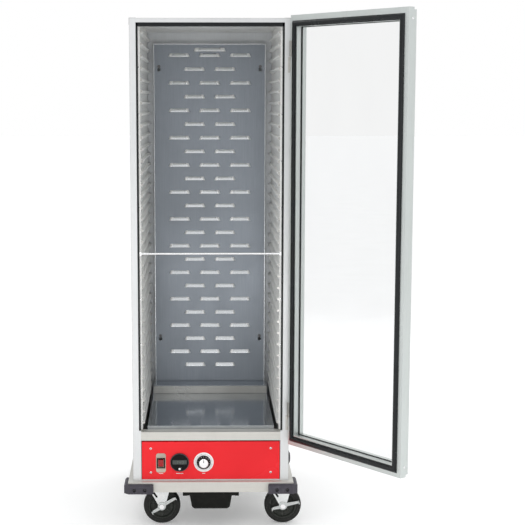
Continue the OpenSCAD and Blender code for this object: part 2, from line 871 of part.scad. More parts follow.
// Rows of screws along both edges of the trim, and one at each end of the free edge
module door_screws() {
    foot_t = 2.5;
    color("white") on_door() {
        for (place = trim_screws) translate([place[0], trim_y1, place[1]]) screw(3.6, door_screw_r, door_screw_l);
        for (z = edge_screws_z) edge_screw_place(z) screw(3.4, door_screw_r, door_screw_l);
        for (place = handle_screws)
            translate([place[0], trim_y1 - foot_t, place[1]]) screw(3.2, door_screw_r, door_screw_l);
    }
}

module door_handle() {
    t = 2.5;
    z0 = 925;
    z1 = 1075;
    foot_w = 16;
    inner_x = handle_x + t;
    out_y = trim_y1 - grip_out;
    color("black") on_door() {
        difference() {
            span([inner_x - foot_w, trim_y1, z0], [inner_x, trim_y1 - t, z1]);
            for (place = handle_screws) translate([place[0], trim_y1 - t, place[1]]) screw_hole(door_screw_r, t);
        }
        span([handle_x, trim_y1, z0], [inner_x, out_y, z1]);
        span([handle_x, out_y, z0], [grip_x, out_y + t, z1]);
        span([grip_x - t, out_y, z0], [grip_x, out_y + 8, z1]);
    }
}

// ---- lift-off hinges ----

module hinge_cabinet_leaves() {
    arm_x = hinge_x - hinge_r;
    plate_x = gasket_out + 1;
    color("silver") placed() for (top = hinge_tops) {
        z1 = top - leaf_h - leaf_gap;
        z0 = z1 - leaf_h;
        difference() {
            span([plate_x, -leaf_t, z0], [arm_x + leaf_t, 0, z1]);
            for (z = [z0 + 8, z1 - 10]) translate([plate_x + 5, 1, z]) stub(1.8, 6);
        }
        span([arm_x, hinge_y, z0], [arm_x + leaf_t, 0, z1]);
        translate([hinge_x, hinge_y, z0]) cylinder(r = hinge_r, h = leaf_h);
        // Pin, standing up into the door's leaf
        translate([hinge_x, hinge_y, z1 - 1]) cylinder(r = pin_r, h = leaf_h * 0.8);
        for (z = [z0 + 8, z1 - 10]) translate([plate_x + 5, -leaf_t, z]) screw(2.9, 1.7, 8);
    }
}

module hinge_door_leaves() {
    edge_x = door_x1;
    plate_x = gasket_out + 1;
    y = door_y0 + leaf_t;
    color("silver") on_door() for (top = hinge_tops) {
        z0 = top - leaf_h;
        difference() {
            union() {
                span([plate_x, door_y0, z0], [edge_x + leaf_t, y, top]);
                span([edge_x, hinge_y, z0], [edge_x + leaf_t, y, top]);
                translate([hinge_x, hinge_y, z0]) cylinder(r = hinge_r, h = leaf_h);
            }
            translate([hinge_x, hinge_y, z0 - 1]) cylinder(r = pin_r + fit_gap, h = leaf_h + 2);
            for (z = [z0 + 8, top - 8]) translate([plate_x + 4.5, -1, z]) rotate([0, 0, 180]) stub(1.8, 9);
        }
        for (z = [z0 + 8, top - 8]) translate([plate_x + 4.5, y, z]) rotate([0, 0, 180]) screw(2.9, 1.7, 6);
    }
}

// ---- casters ----

// Puts what is drawn for a caster that trails towards +x where caster i stands
module at_caster(i) {
    placed() translate([casters[i][0], casters[i][1], 0]) rotate([0, 0, casters[i][2]]) children();
}

// The same, but turned back to the cabinet's own directions
module at_axle() {
    translate([caster_trail, 0, wheel_d / 2]) children();
}

module caster_plates() {
    plate_top = mount_plate_z;
    plate_bottom = plate_top - caster_plate_t;
    crown_top = crown_z + crown_t;
    color("silver") placed() for (c = casters) {
        translate([c[0], c[1], 0]) {
            difference() {
                translate([-50, -42, plate_bottom]) cube([100, 84, caster_plate_t]);
                at_bolts(0, 0) translate([0, 0, plate_bottom - 1]) cylinder(r = 4.4, h = 10);
            }
            // Upper raceway and kingpin
            translate([0, 0, crown_top + clear]) cylinder(r1 = 24, r2 = 31, h = plate_bottom - crown_top - clear);
            translate([0, 0, crown_z - 3]) cylinder(r = kingpin_r, h = plate_bottom - crown_z + 3);
            translate([0, 0, crown_z - clear - 3]) cylinder(r = 9.5, h = 3);
            at_bolts(0, 0) {
                translate([0, 0, plate_bottom - 6]) cylinder(r = 7, h = 6, $fn = 6);
                translate([0, 0, plate_bottom - 7]) cylinder(r = 4, h = 16);
                translate([0, 0, plate_top + 4]) cylinder(r = 7, h = 5);
            }
        }
    }
}

// One leg: wide under the crown, narrow at the axle
module leg() {
    top = crown_z + crown_t - wheel_d / 2;
    difference() {
        union() {
            circle(r = 13);
            polygon([[-44, top], [28, top], [28, top - 8], [12.5, 4], [-12.5, 4], [-44, top - 8]]);
        }
        circle(r = axle_r);
        translate([-26, top - 24]) circle(r = 3.5);
        translate([-18, top - 36]) circle(r = 3.5);
        polygon([[-29.2, top - 25.4], [-22.8, top - 22.6], [-14.8, top - 34.6], [-21.2, top - 37.4]]);
    }
}

module fork(i) {
    color("lightgray") at_caster(i) {
        difference() {
            union() {
                translate([0, 0, crown_z]) cylinder(r = 31, h = crown_t);
                translate([0, -leg_in - leg_t, crown_z]) cube([caster_trail + 28, 2 * (leg_in + leg_t), crown_t]);
            }
            translate([0, 0, crown_z - 1]) cylinder(r = kingpin_r + fit_gap, h = 10);
        }
        for (y = [-leg_in, leg_in + leg_t])
            at_axle() translate([0, y, 0]) rotate([90, 0, 0]) linear_extrude(leg_t) leg();
    }
}

module axle(i) {
    reach = leg_in + leg_t;
    lever_room = 4.6;
    color("silver") at_caster(i) at_axle() {
        translate([0, reach + 9, 0]) stub(axle_r, 2 * reach + 9 + lever_room + 3);
        translate([0, -reach - lever_room, 0]) rotate([90, 0, 0]) cylinder(r = 9, h = 5, $fn = 6);
        translate([0, reach + 7, 0]) rotate([90, 0, 0]) cylinder(r = 9, h = 7, $fn = 6);
    }
}

module wheel(i) {
    r = wheel_d / 2;
    half = wheel_w / 2;
    rim = 44;
    web = 6;
    hub = 17;
    color("black") at_caster(i) at_axle() rotate([90, 0, 0]) rotate_extrude($fn = 96) polygon([
        [axle_r + fit_gap, -half - 3], [hub, -half - 3], [hub + 1, -web], [rim - 3, -web - 1],
        [rim, 1 - half], [rim + 3, -half], [r - 6, -half], [r - 2.2, 3 - half], [r, 8 - half],
        [r, half - 8], [r - 2.2, half - 3], [r - 6, half], [rim + 3, half],
        [rim, half - 1], [rim - 3, web + 1], [hub + 1, web], [hub, half + 3], [axle_r + fit_gap, half + 3]
    ]);
}

// Side lever: two arms from the axle, each ending in a foot tab
module brake(i) {
    t = 3;
    y = -leg_in - leg_t - 0.8;
    arm_w = 9;
    reach = [-40, 58];
    tab = 11;
    color("gainsboro") at_caster(i) at_axle() translate([0, y, 0]) rotate([0, -casters[i][3], 0]) {
        rotate([90, 0, 0]) linear_extrude(t) difference() {
            union() {
                circle(r = 14);
                translate([reach[0], -arm_w / 2 - 2]) square([-reach[0], arm_w]);
                translate([0, -arm_w / 2 + 2]) square([reach[1], arm_w]);
            }
            circle(r = axle_r + fit_gap);
        }
        translate([reach[1] - 3, -tab, -arm_w / 2 - 1]) cube([3, tab, arm_w + 6]);
        translate([reach[0], -tab, -arm_w / 2 - 4]) cube([3, tab, arm_w + 4]);
    }
}

skin_left();
skin_right();
skin_top();
skin_back();
floor_pan();
insulation();
side_liners();
pan_ledges();
liner_ceiling();
liner_back();
front_frame();
sill();
liner_rivets();
brace_rod();
duct_panel();
duct_studs();
heater_deck();
heater_element();
fan_motor();
fan_impeller();
control_panel();
front_screws();
switch_bezel();
switch_rocker();
thermometer_case();
thermometer_screen();
thermometer_button();
dial_plate();
thermostat_body();
thermostat_knob();
side_vent();
cord_inlet();
base_frame();
bumpers();
pan_rails();
drip_pan();
door_frame();
door_trim();
door_window();
window_seal();
door_gasket();
door_screws();
door_handle();
hinge_cabinet_leaves();
hinge_door_leaves();
caster_plates();
fork(0);  // fork_front_left
fork(1);  // fork_front_right
fork(2);  // fork_rear_left
fork(3);  // fork_rear_right
axle(0);  // axle_front_left
axle(1);  // axle_front_right
axle(2);  // axle_rear_left
axle(3);  // axle_rear_right
wheel(0);  // wheel_front_left
wheel(1);  // wheel_front_right
wheel(2);  // wheel_rear_left
wheel(3);  // wheel_rear_right
brake(0);  // brake_front_left
brake(1);  // brake_front_right
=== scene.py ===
# A full-height heated holding cabinet with its windowed door open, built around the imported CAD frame.
# Sections: places, camera and studio, node helpers, materials and their hand-out, mesh helpers, pieces.

import json
import math

import bmesh
import bpy
from mathutils import Matrix, Vector


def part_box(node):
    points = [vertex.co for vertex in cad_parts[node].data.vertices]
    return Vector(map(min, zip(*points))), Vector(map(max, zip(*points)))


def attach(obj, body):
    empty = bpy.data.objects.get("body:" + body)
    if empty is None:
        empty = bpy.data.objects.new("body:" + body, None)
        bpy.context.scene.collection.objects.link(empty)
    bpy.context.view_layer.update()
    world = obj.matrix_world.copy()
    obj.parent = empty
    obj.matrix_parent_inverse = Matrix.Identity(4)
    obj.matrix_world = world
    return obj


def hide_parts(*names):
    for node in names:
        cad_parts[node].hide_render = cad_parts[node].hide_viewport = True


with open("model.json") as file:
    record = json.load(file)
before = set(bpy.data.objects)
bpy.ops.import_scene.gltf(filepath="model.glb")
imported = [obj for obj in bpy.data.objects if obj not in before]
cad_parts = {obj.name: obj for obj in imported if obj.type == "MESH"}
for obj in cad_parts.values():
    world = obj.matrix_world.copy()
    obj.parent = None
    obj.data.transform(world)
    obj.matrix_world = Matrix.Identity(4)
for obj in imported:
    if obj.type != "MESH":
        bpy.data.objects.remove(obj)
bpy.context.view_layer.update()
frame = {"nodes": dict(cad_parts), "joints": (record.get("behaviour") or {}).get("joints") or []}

MM = 0.001

# ---- places, all worked out from the frame ----

FRAME_LO, FRAME_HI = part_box("front_frame")
CENTRE_X = (FRAME_LO.x + FRAME_HI.x) / 2
FRONT_Y = FRAME_LO.y
HOME = Matrix.Translation((CENTRE_X, FRONT_Y, 0)) @ Matrix.Scale(MM, 4)
JOINTS = {joint["name"]: joint for joint in frame["joints"]}
CORNERS = ("front_left", "front_right", "rear_left", "rear_right")


def at(x, y, z):
    """A place given in millimetres from the floor under the middle of the front frame's face."""
    return Vector((CENTRE_X + x * MM, FRONT_Y + y * MM, z * MM))


def span(node):
    """A CAD node's lowest and highest corners in the same millimetres as at()."""
    back = HOME.inverted()
    return tuple(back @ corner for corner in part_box(node))


def door_place():
    """The drawing of the shut door, swung open about its hinge."""
    pin = Vector(JOINTS["door_hinge"]["pos_m"])
    swing = Matrix.Rotation(-math.radians(JOINTS["door_hinge"]["range_deg"][0]), 4, "Z")
    return Matrix.Translation(pin) @ swing @ Matrix.Translation(-pin) @ HOME


def wheel_place(corner):
    """A place at the middle of a wheel: x away from the swivel axis, y along the axle."""
    middle = Vector(JOINTS["roll_" + corner]["pos_m"])
    trail = middle - Vector(JOINTS["swivel_" + corner]["pos_m"])
    turn = Matrix.Rotation(math.atan2(trail.y, trail.x), 4, "Z")
    return Matrix.Translation(middle) @ turn @ Matrix.Scale(MM, 4)


# ---- camera and studio ----

CAMERA_AT = at(-17.8, -4433, 1448)
CAMERA_PITCH = math.radians(8.0)
CAMERA_YAW = math.radians(0.76)
CAMERA_LENS = 92.69
CAMERA_SHIFT = (0.0753, 0.0513)


def make_camera():
    data = bpy.data.cameras.new("camera")
    data.sensor_width = 36
    data.lens = CAMERA_LENS
    data.shift_x, data.shift_y = CAMERA_SHIFT
    data.clip_end = 60
    camera = bpy.data.objects.new("camera", data)
    camera.location = CAMERA_AT
    camera.rotation_euler = (math.pi / 2 - CAMERA_PITCH, 0, -CAMERA_YAW)
    bpy.context.collection.objects.link(camera)
    bpy.context.scene.camera = camera


def area_light(name, place, target, size, power):
    """A soft box that lights the cabinet but isn't seen itself, directly or through the window."""
    data = bpy.data.lights.new(name, "AREA")
    data.shape = "RECTANGLE"
    data.size, data.size_y = size
    data.energy = power
    light = bpy.data.objects.new(name, data)
    light.location = place
    light.rotation_euler = (Vector(target) - Vector(place)).to_track_quat("-Z", "Y").to_euler()
    light.visible_camera = False
    light.visible_transmission = False
    bpy.context.collection.objects.link(light)


def make_studio():
    """Five soft boxes, and a white room that is a little darker low down, where the floor would be."""
    area_light("key", at(-1800, -3600, 2900), at(0, 200, 900), (2.2, 2.6), 15)
    area_light("fill", at(2900, -3000, 1900), at(100, 200, 900), (1.6, 2.6), 16)
    area_light("top", at(0, 600, 4200), at(0, 300, 800), (3.0, 3.0), 13)
    area_light("low", at(-300, -3400, 260), at(0, 300, 1000), (2.4, 0.4), 7)
    area_light("back", at(1500, 3600, 2400), at(0, 400, 1000), (2.6, 2.6), 15)
    world = bpy.data.worlds.new("studio")
    world.use_nodes = True
    nodes, links = world.node_tree.nodes, world.node_tree.links
    background = nodes["Background"]
    split = nodes.new("ShaderNodeSeparateXYZ")
    links.new(nodes.new("ShaderNodeTexCoord").outputs["Generated"], split.inputs[0])
    shade = nodes.new("ShaderNodeValToRGB")
    shade.color_ramp.elements[0].position = 0.30
    shade.color_ramp.elements[0].color = (0.55, 0.56, 0.57, 1)
    shade.color_ramp.elements[1].position = 0.62
    shade.color_ramp.elements[1].color = (0.90, 0.905, 0.91, 1)
    height = nodes.new("ShaderNodeMapRange")
    height.inputs["From Min"].default_value = -1
    links.new(split.outputs["Z"], height.inputs["Value"])
    links.new(height.outputs["Result"], shade.inputs["Fac"])
    seen = nodes.new("ShaderNodeMix")
    seen.data_type = "RGBA"
    seen.inputs[7].default_value = (1, 1, 1, 1)
    path = nodes.new("ShaderNodeLightPath")
    either = nodes.new("ShaderNodeMath")
    either.operation = "MAXIMUM"
    links.new(path.outputs["Is Camera Ray"], either.inputs[0])
    links.new(path.outputs["Is Transmission Ray"], either.inputs[1])
    links.new(either.outputs[0], seen.inputs["Factor"])
    links.new(shade.outputs["Color"], seen.inputs[6])
    links.new(seen.outputs[2], background.inputs["Color"])
    scene = bpy.context.scene
    scene.world = world
    scene.view_settings.view_transform = "Standard"
    scene.view_settings.look = "None"


make_camera()
make_studio()

# ---- node helpers ----


class Tree:
    """A new material's node tree, with a short way to add and join nodes."""

    def __init__(self, name):
        self.material = bpy.data.materials.new(name)
        self.material.use_nodes = True
        self.nodes = self.material.node_tree.nodes
        self.links = self.material.node_tree.links
        self.shader = self.nodes["Principled BSDF"]

    def add(self, kind, **inputs):
        node = self.nodes.new(kind)
        for key, value in inputs.items():
            self.put(node.inputs[key.replace("_", " ")], value)
        return node

    def put(self, socket, value):
        if isinstance(value, bpy.types.NodeSocket):
            self.links.new(value, socket)
        else:
            socket.default_value = value

    def set(self, **inputs):
        for key, value in inputs.items():
            self.put(self.shader.inputs[key.replace("_", " ")], value)

    def place(self, stretch=(1, 1, 1)):
        """Object coordinates, squeezed along each axis: a small factor draws a pattern out along it."""
        coords = self.nodes.new("ShaderNodeTexCoord")
        mapping = self.nodes.new("ShaderNodeMapping")
        self.links.new(coords.outputs["Object"], mapping.inputs["Vector"])
        mapping.inputs["Scale"].default_value = stretch
        return mapping.outputs["Vector"]

    def noise(self, scale, detail=3.0, stretch=(1, 1, 1), rough=0.5):
        node = self.add("ShaderNodeTexNoise", Vector=self.place(stretch), Scale=scale, Detail=detail)
        node.inputs["Roughness"].default_value = rough
        return node.outputs["Fac"]

    def ramp(self, value, low, high, start=0.0, end=1.0):
        """value from start to end, mapped to a number or a colour from low to high."""
        if isinstance(low, (int, float)):
            node = self.add("ShaderNodeMapRange", Value=value)
            node.inputs["From Min"].default_value = start
            node.inputs["From Max"].default_value = end
            node.inputs["To Min"].default_value = low
            node.inputs["To Max"].default_value = high
            return node.outputs["Result"]
        node = self.add("ShaderNodeValToRGB", Fac=value)
        node.color_ramp.elements[0].position = start
        node.color_ramp.elements[1].position = end
        node.color_ramp.elements[0].color = (*low, 1)
        node.color_ramp.elements[1].color = (*high, 1)
        return node.outputs["Color"]

    def mix(self, factor, a, b):
        node = self.nodes.new("ShaderNodeMix")
        node.data_type = "RGBA"
        self.put(node.inputs["Factor"], factor)
        for socket, value in ((node.inputs[6], a), (node.inputs[7], b)):
            self.put(socket, (*value, 1) if isinstance(value, tuple) else value)
        return node.outputs[2]

    def math(self, operation, a, b=0.0):
        node = self.nodes.new("ShaderNodeMath")
        node.operation = operation
        self.put(node.inputs[0], a)
        self.put(node.inputs[1], b)
        return node.outputs[0]

    def bump(self, height, strength, distance, edge=0.0):
        """Sets the shader's normal from a height, over edges rounded by edge metres."""
        node = self.add("ShaderNodeBump", Height=height, Strength=strength, Distance=distance)
        if edge:
            bevel = self.nodes.new("ShaderNodeBevel")
            bevel.samples = 4
            bevel.inputs["Radius"].default_value = edge
            self.links.new(bevel.outputs["Normal"], node.inputs["Normal"])
        self.links.new(node.outputs["Normal"], self.shader.inputs["Normal"])

    def worn_edges(self, radius=0.002):
        """1 near sharp edges and 0 away from them, from how far a rounded normal leans."""
        bevel = self.nodes.new("ShaderNodeBevel")
        bevel.samples = 4
        bevel.inputs["Radius"].default_value = radius
        geometry = self.nodes.new("ShaderNodeNewGeometry")
        dot = self.nodes.new("ShaderNodeVectorMath")
        dot.operation = "DOT_PRODUCT"
        self.links.new(bevel.outputs["Normal"], dot.inputs[0])
        self.links.new(geometry.outputs["Normal"], dot.inputs[1])
        return self.ramp(dot.outputs["Value"], 1.0, 0.0, 0.75, 0.99)


# ---- materials ----


def brushed(name, dark, light, rough, grain, scale=700, metallic=1.0, marks=0.25, edge=0.0005):
    """Sheet metal with a fine grain drawn out along one axis, faint smudges and uneven gloss."""
    t = Tree(name)
    lines = t.noise(scale, 4, grain, 0.6)
    cloud = t.noise(2.6, 4, (1, 1, 0.7))
    smudge = t.noise(17, 5, (1, 1, 0.5), 0.65)
    grained = t.ramp(lines, dark, light, 0.25, 0.75)
    stained = t.mix(t.ramp(smudge, 0.0, marks, 0.5, 0.72), grained, tuple(c * 0.80 for c in dark))
    t.set(Base_Color=t.mix(t.ramp(cloud, 0.0, 0.35, 0.4, 0.65), stained, light), Metallic=metallic)
    patch = t.ramp(cloud, rough * (1 - marks), rough * (1 + marks), 0.35, 0.65)
    t.set(Roughness=t.math("ADD", patch, t.ramp(lines, -0.04, 0.05, 0.3, 0.7)))
    t.bump(lines, 0.10, 0.0003, edge)
    return t.material


def plastic(name, colour, rough, grain=900, depth=0.15, edge=0.0006, wear=None, coat=0.0,
            shine=0.3):
    """Moulded plastic or rubber: a fine pebble, uneven gloss, and edges rubbed paler where wear is given."""
    t = Tree(name)
    pebble = t.noise(grain, 2)
    cloud = t.noise(11, 4)
    dull = tuple(c * 0.80 for c in colour)
    clean = tuple(min(1, c * 1.18) for c in colour)
    base = t.ramp(cloud, dull, clean, 0.35, 0.65)
    if wear:
        scuff = t.math("MULTIPLY", t.worn_edges(), t.ramp(t.noise(55, 4), 0.0, 1.0, 0.42, 0.6))
        dust = t.ramp(t.noise(24, 5, (1, 1, 1), 0.7), 0.0, 0.35, 0.52, 0.75)
        base = t.mix(t.math("MAXIMUM", scuff, dust), base, wear)
    t.set(Base_Color=base, Coat_Weight=coat, Coat_Roughness=0.08, Specular_IOR_Level=shine)
    t.set(Roughness=t.ramp(cloud, rough * 0.85, min(1, rough * 1.15), 0.3, 0.7))
    t.bump(pebble, depth, 0.0003, edge)
    return t.material


def clear_pane():
    """Clear window, with the faintest smears in its gloss."""
    t = Tree("clear_pane")
    smear = t.noise(7, 5, (1, 1, 0.5))
    t.set(Base_Color=t.ramp(smear, (0.890, 0.895, 0.895), (0.905, 0.91, 0.91), 0.3, 0.7))
    t.set(Transmission_Weight=1.0, IOR=1.03, Roughness=t.ramp(smear, 0.0, 0.05, 0.4, 0.75))
    return t.material


def glossy_red():
    """Painted front plate, glossy, with the faint waviness of paint and a few pale hairline streaks that are
    partly scratches and partly painted highlight.
    """
    t = Tree("glossy_red")
    cloud = t.noise(2.6, 3)
    peel = t.noise(420, 2)
    # Pale streaks along the plate: hairline scratches, and also a painted highlight standing in for glints on
    # the paint.
    scratches_and_sheen = t.ramp(t.noise(60, 5, (0.04, 1, 1), 0.7), 0.0, 0.25, 0.62, 0.72)
    paint = t.ramp(cloud, (0.740, 0.006, 0.012), (0.960, 0.014, 0.024), 0.3, 0.7)
    t.set(Base_Color=t.mix(scratches_and_sheen, paint, (0.80, 0.12, 0.12)))
    t.set(Roughness=t.ramp(cloud, 0.22, 0.34, 0.3, 0.7), Specular_IOR_Level=0.3)
    t.bump(peel, 0.06, 0.0002, 0.0006)
    return t.material


UP = (1, 1, 0.012)
ACROSS = (0.012, 1, 1)
BACK = (1, 0.012, 1)

MATERIALS = {
    "skin": brushed("satin_skin", (0.52, 0.527, 0.525), (0.58, 0.587, 0.582), 0.40, UP, metallic=0.85,
                    marks=0.2),
    "angle": brushed("angle_aluminium", (0.44, 0.447, 0.445), (0.52, 0.527, 0.522), 0.30, UP,
                     metallic=0.95),
    "frame": brushed("frame_aluminium", (0.62, 0.63, 0.632), (0.68, 0.69, 0.692), 0.40, UP,
                     metallic=0.6, marks=0.2),
    "liner": brushed("liner_aluminium", (0.90, 0.90, 0.875), (0.95, 0.95, 0.93), 0.34, BACK,
                     metallic=0.15, marks=0.15),
    "ledge": brushed("ledge_aluminium", (0.90, 0.90, 0.88), (0.95, 0.95, 0.93), 0.34, BACK,
                     metallic=0.05, marks=0.1),
    "duct": brushed("duct_aluminium", (0.20, 0.22, 0.25), (0.26, 0.285, 0.315), 0.36, UP, metallic=0.75),
    # Bright metal for the ends of the louvre hoods only: a painted highlight where their rounded ends would
    # catch the light.
    "painted_highlight_ends": brushed("hood_end_painted_highlight", (0.90, 0.91, 0.92), (0.97, 0.97, 0.97), 0.30, (1, 1, 1),
                        metallic=0.55, marks=0.05),
    "worn": brushed("worn_aluminium", (0.38, 0.375, 0.355), (0.52, 0.515, 0.49), 0.36, ACROSS,
                    scale=260, metallic=0.8, marks=0.5),
    "plenum": brushed("plenum_aluminium", (0.62, 0.64, 0.66), (0.72, 0.74, 0.76), 0.42, UP,
                      metallic=0.4),
    # A much lighter tone than the duct sheet the hoods are pressed from: a painted highlight on the hoods and
    # the hems.
    "hood": brushed("hood_painted_highlight_aluminium", (0.62, 0.65, 0.67), (0.76, 0.78, 0.80), 0.20, ACROSS,
                    metallic=0.9),
    "deck": brushed("deck_aluminium", (0.46, 0.49, 0.52), (0.57, 0.60, 0.63), 0.14, ACROSS, marks=0.35),
    "bright": brushed("bright_plate", (0.80, 0.81, 0.82), (0.93, 0.93, 0.93), 0.18, (1, 1, 1),
                      marks=0.1),
    "zinc": brushed("zinc_plate", (0.62, 0.64, 0.64), (0.78, 0.80, 0.79), 0.28, (1, 1, 1), 120),
    "lever": brushed("lever_plate", (0.46, 0.48, 0.475), (0.62, 0.64, 0.63), 0.30, (1, 1, 1), 120,
                     marks=0.35),
    "hinge": brushed("hinge_plate", (0.40, 0.40, 0.375), (0.60, 0.59, 0.56), 0.34, (1, 1, 0.1)),
    "door": brushed("door_aluminium", (0.57, 0.605, 0.59), (0.64, 0.675, 0.66), 0.40, UP,
                    metallic=0.85, marks=0.2),
    "base": brushed("base_metal", (0.54, 0.527, 0.49), (0.61, 0.60, 0.56), 0.42, ACROSS, metallic=0.35),
    "dark_steel": brushed("dark_steel", (0.10, 0.10, 0.105), (0.17, 0.17, 0.17), 0.45, (1, 1, 1)),
    "red": glossy_red(),
    "wool": plastic("pressed_wool", (0.55, 0.48, 0.25), 0.95, grain=300, depth=0.6, edge=0),
    "rubber": plastic("seal_rubber", (0.006, 0.008, 0.009), 0.26, grain=500, depth=0.08, shine=0.3),
    "bumper": plastic("bumper_rubber", (0.050, 0.046, 0.058), 0.55, grain=700, depth=0.3,
                      wear=(0.15, 0.14, 0.16)),
    "tyre": plastic("tyre_rubber", (0.014, 0.0143, 0.013), 0.42, grain=500, depth=0.25,
                    wear=(0.05, 0.05, 0.046), shine=0.2),
    "hub": plastic("hub_plastic", (0.024, 0.027, 0.023), 0.38, grain=800, wear=(0.12, 0.12, 0.11),
                   shine=0.2),
    "black": plastic("black_plastic", (0.005, 0.005, 0.0055), 0.20, grain=1200, depth=0.05, shine=0.12),
    "pan": plastic("pan_plastic", (0.006, 0.0065, 0.0055), 0.36, grain=900, wear=(0.025, 0.025, 0.022),
                   shine=0.12),
    "vent": plastic("vent_plastic", (0.06, 0.06, 0.065), 0.5),
    "white": plastic("white_enamel", (0.95, 0.95, 0.94), 0.35, grain=1500, depth=0.05),
    "print": plastic("black_print", (0.015, 0.015, 0.016), 0.5, grain=2000, depth=0.03),
    "pale_print": plastic("pale_print", (0.80, 0.74, 0.72), 0.5, grain=2000, depth=0.03),
    "plate": plastic("switch_plate", (0.50, 0.44, 0.36), 0.35, grain=1500, depth=0.05),
    "rocker": plastic("rocker_plastic", (0.40, 0.006, 0.010), 0.22, grain=1500, depth=0.04, coat=0.3),
    "screen": plastic("screen_glass", (0.035, 0.046, 0.040), 0.15, grain=1500, depth=0.02, coat=0.8),
    "segment": plastic("lcd_segment", (0.13, 0.15, 0.135), 0.3, grain=2000, depth=0.02),
    "pane": clear_pane(),
}

DRESS = {
    "skin_left": "skin", "skin_right": "skin", "skin_top": "skin", "skin_back": "skin", "floor_pan": "skin",
    "insulation": "wool", "side_liners": "liner", "pan_ledges": "ledge", "liner_ceiling": "liner",
    "liner_back": "plenum", "front_frame": "frame", "sill": "base", "liner_rivets": "bright",
    "brace_rod": "bright", "duct_panel": "duct", "duct_studs": "dark_steel", "heater_deck": "deck",
    "heater_element": "dark_steel", "fan_motor": "dark_steel", "fan_impeller": "zinc",
    "control_panel": "red", "front_screws": "bright", "switch_bezel": "plate", "switch_rocker": "rocker",
    "thermometer_case": "black", "thermometer_screen": "screen", "thermometer_button": "zinc",
    "dial_plate": "white", "thermostat_body": "black", "thermostat_knob": "bright", "side_vent": "vent",
    "cord_inlet": "black", "base_frame": "base", "bumpers": "bumper", "pan_rails": "pan", "drip_pan": "pan",
    "door_frame": "door", "door_trim": "door", "door_window": "pane", "window_seal": "rubber",
    "door_gasket": "rubber", "door_screws": "bright", "door_handle": "black",
    "hinge_cabinet_leaves": "hinge", "hinge_door_leaves": "hinge", "caster_plates": "zinc",
}
for corner in CORNERS:
    DRESS["fork_" + corner] = "zinc"
    DRESS["axle_" + corner] = "bright"
    DRESS["wheel_" + corner] = "tyre"
    if corner.startswith("front"):
        DRESS["brake_" + corner] = "zinc"

# Nodes whose edges are rounded in the mesh, and by how many millimetres
ROUND = {
    "front_frame": 1.2, "sill": 0.8, "base_frame": 1.2, "bumpers": 2.0, "control_panel": 0.6,
    "door_frame": 1.5, "door_trim": 1.5, "door_handle": 1.2, "skin_left": 0.5, "skin_right": 0.5,
    "skin_top": 0.5, "skin_back": 0.5, "heater_deck": 0.8, "hinge_cabinet_leaves": 0.5,
    "hinge_door_leaves": 0.5, "switch_bezel": 0.6, "switch_rocker": 0.7, "thermometer_case": 0.9,
    "dial_plate": 0.4, "side_vent": 0.5, "cord_inlet": 0.8, "pan_rails": 0.8, "brace_rod": 0.4,
    "pan_ledges": 0.5, "caster_plates": 0.5,
}
for corner in CORNERS:
    ROUND["fork_" + corner] = 0.8
    ROUND["axle_" + corner] = 0.5


def round_edges(obj, width, angle=38):
    """Merges flat faces, then rounds every edge sharper than angle degrees by width millimetres."""
    flat = obj.modifiers.new("flat", "DECIMATE")
    flat.decimate_type = "DISSOLVE"
    flat.angle_limit = math.radians(0.6)
    bevel = obj.modifiers.new("bevel", "BEVEL")
    bevel.width = width * MM
    bevel.segments = 2
    bevel.limit_method = "ANGLE"
    bevel.angle_limit = math.radians(angle)
    normals = obj.modifiers.new("normals", "WEIGHTED_NORMAL")
    normals.weight = 80


for node, key in DRESS.items():
    obj = frame["nodes"][node]
    obj.data.materials.clear()
    obj.data.materials.append(MATERIALS[key])
    if node in ROUND:
        round_edges(obj, ROUND[node])

# ---- mesh helpers ----

SAME = Matrix.Identity(4)
# Turns a shape drawn about z so that its axis points along another one
TO_FRONT = Matrix.Rotation(math.pi / 2, 4, "X")
TO_BACK = Matrix.Rotation(-math.pi / 2, 4, "X")
TO_RIGHT = Matrix.Rotation(math.pi / 2, 4, "Y")
TO_LEFT = Matrix.Rotation(-math.pi / 2, 4, "Y")
# Draws an outline given in y and z, or in x and z, along the axis that is left
YZ_TO_X = Matrix(((0, 0, 1, 0), (1, 0, 0, 0), (0, 1, 0, 0), (0, 0, 0, 1)))
XZ_TO_Y = Matrix(((1, 0, 0, 0), (0, 0, 1, 0), (0, 1, 0, 0), (0, 0, 0, 1)))


def shift(x, y, z):
    return Matrix.Translation((x, y, z))


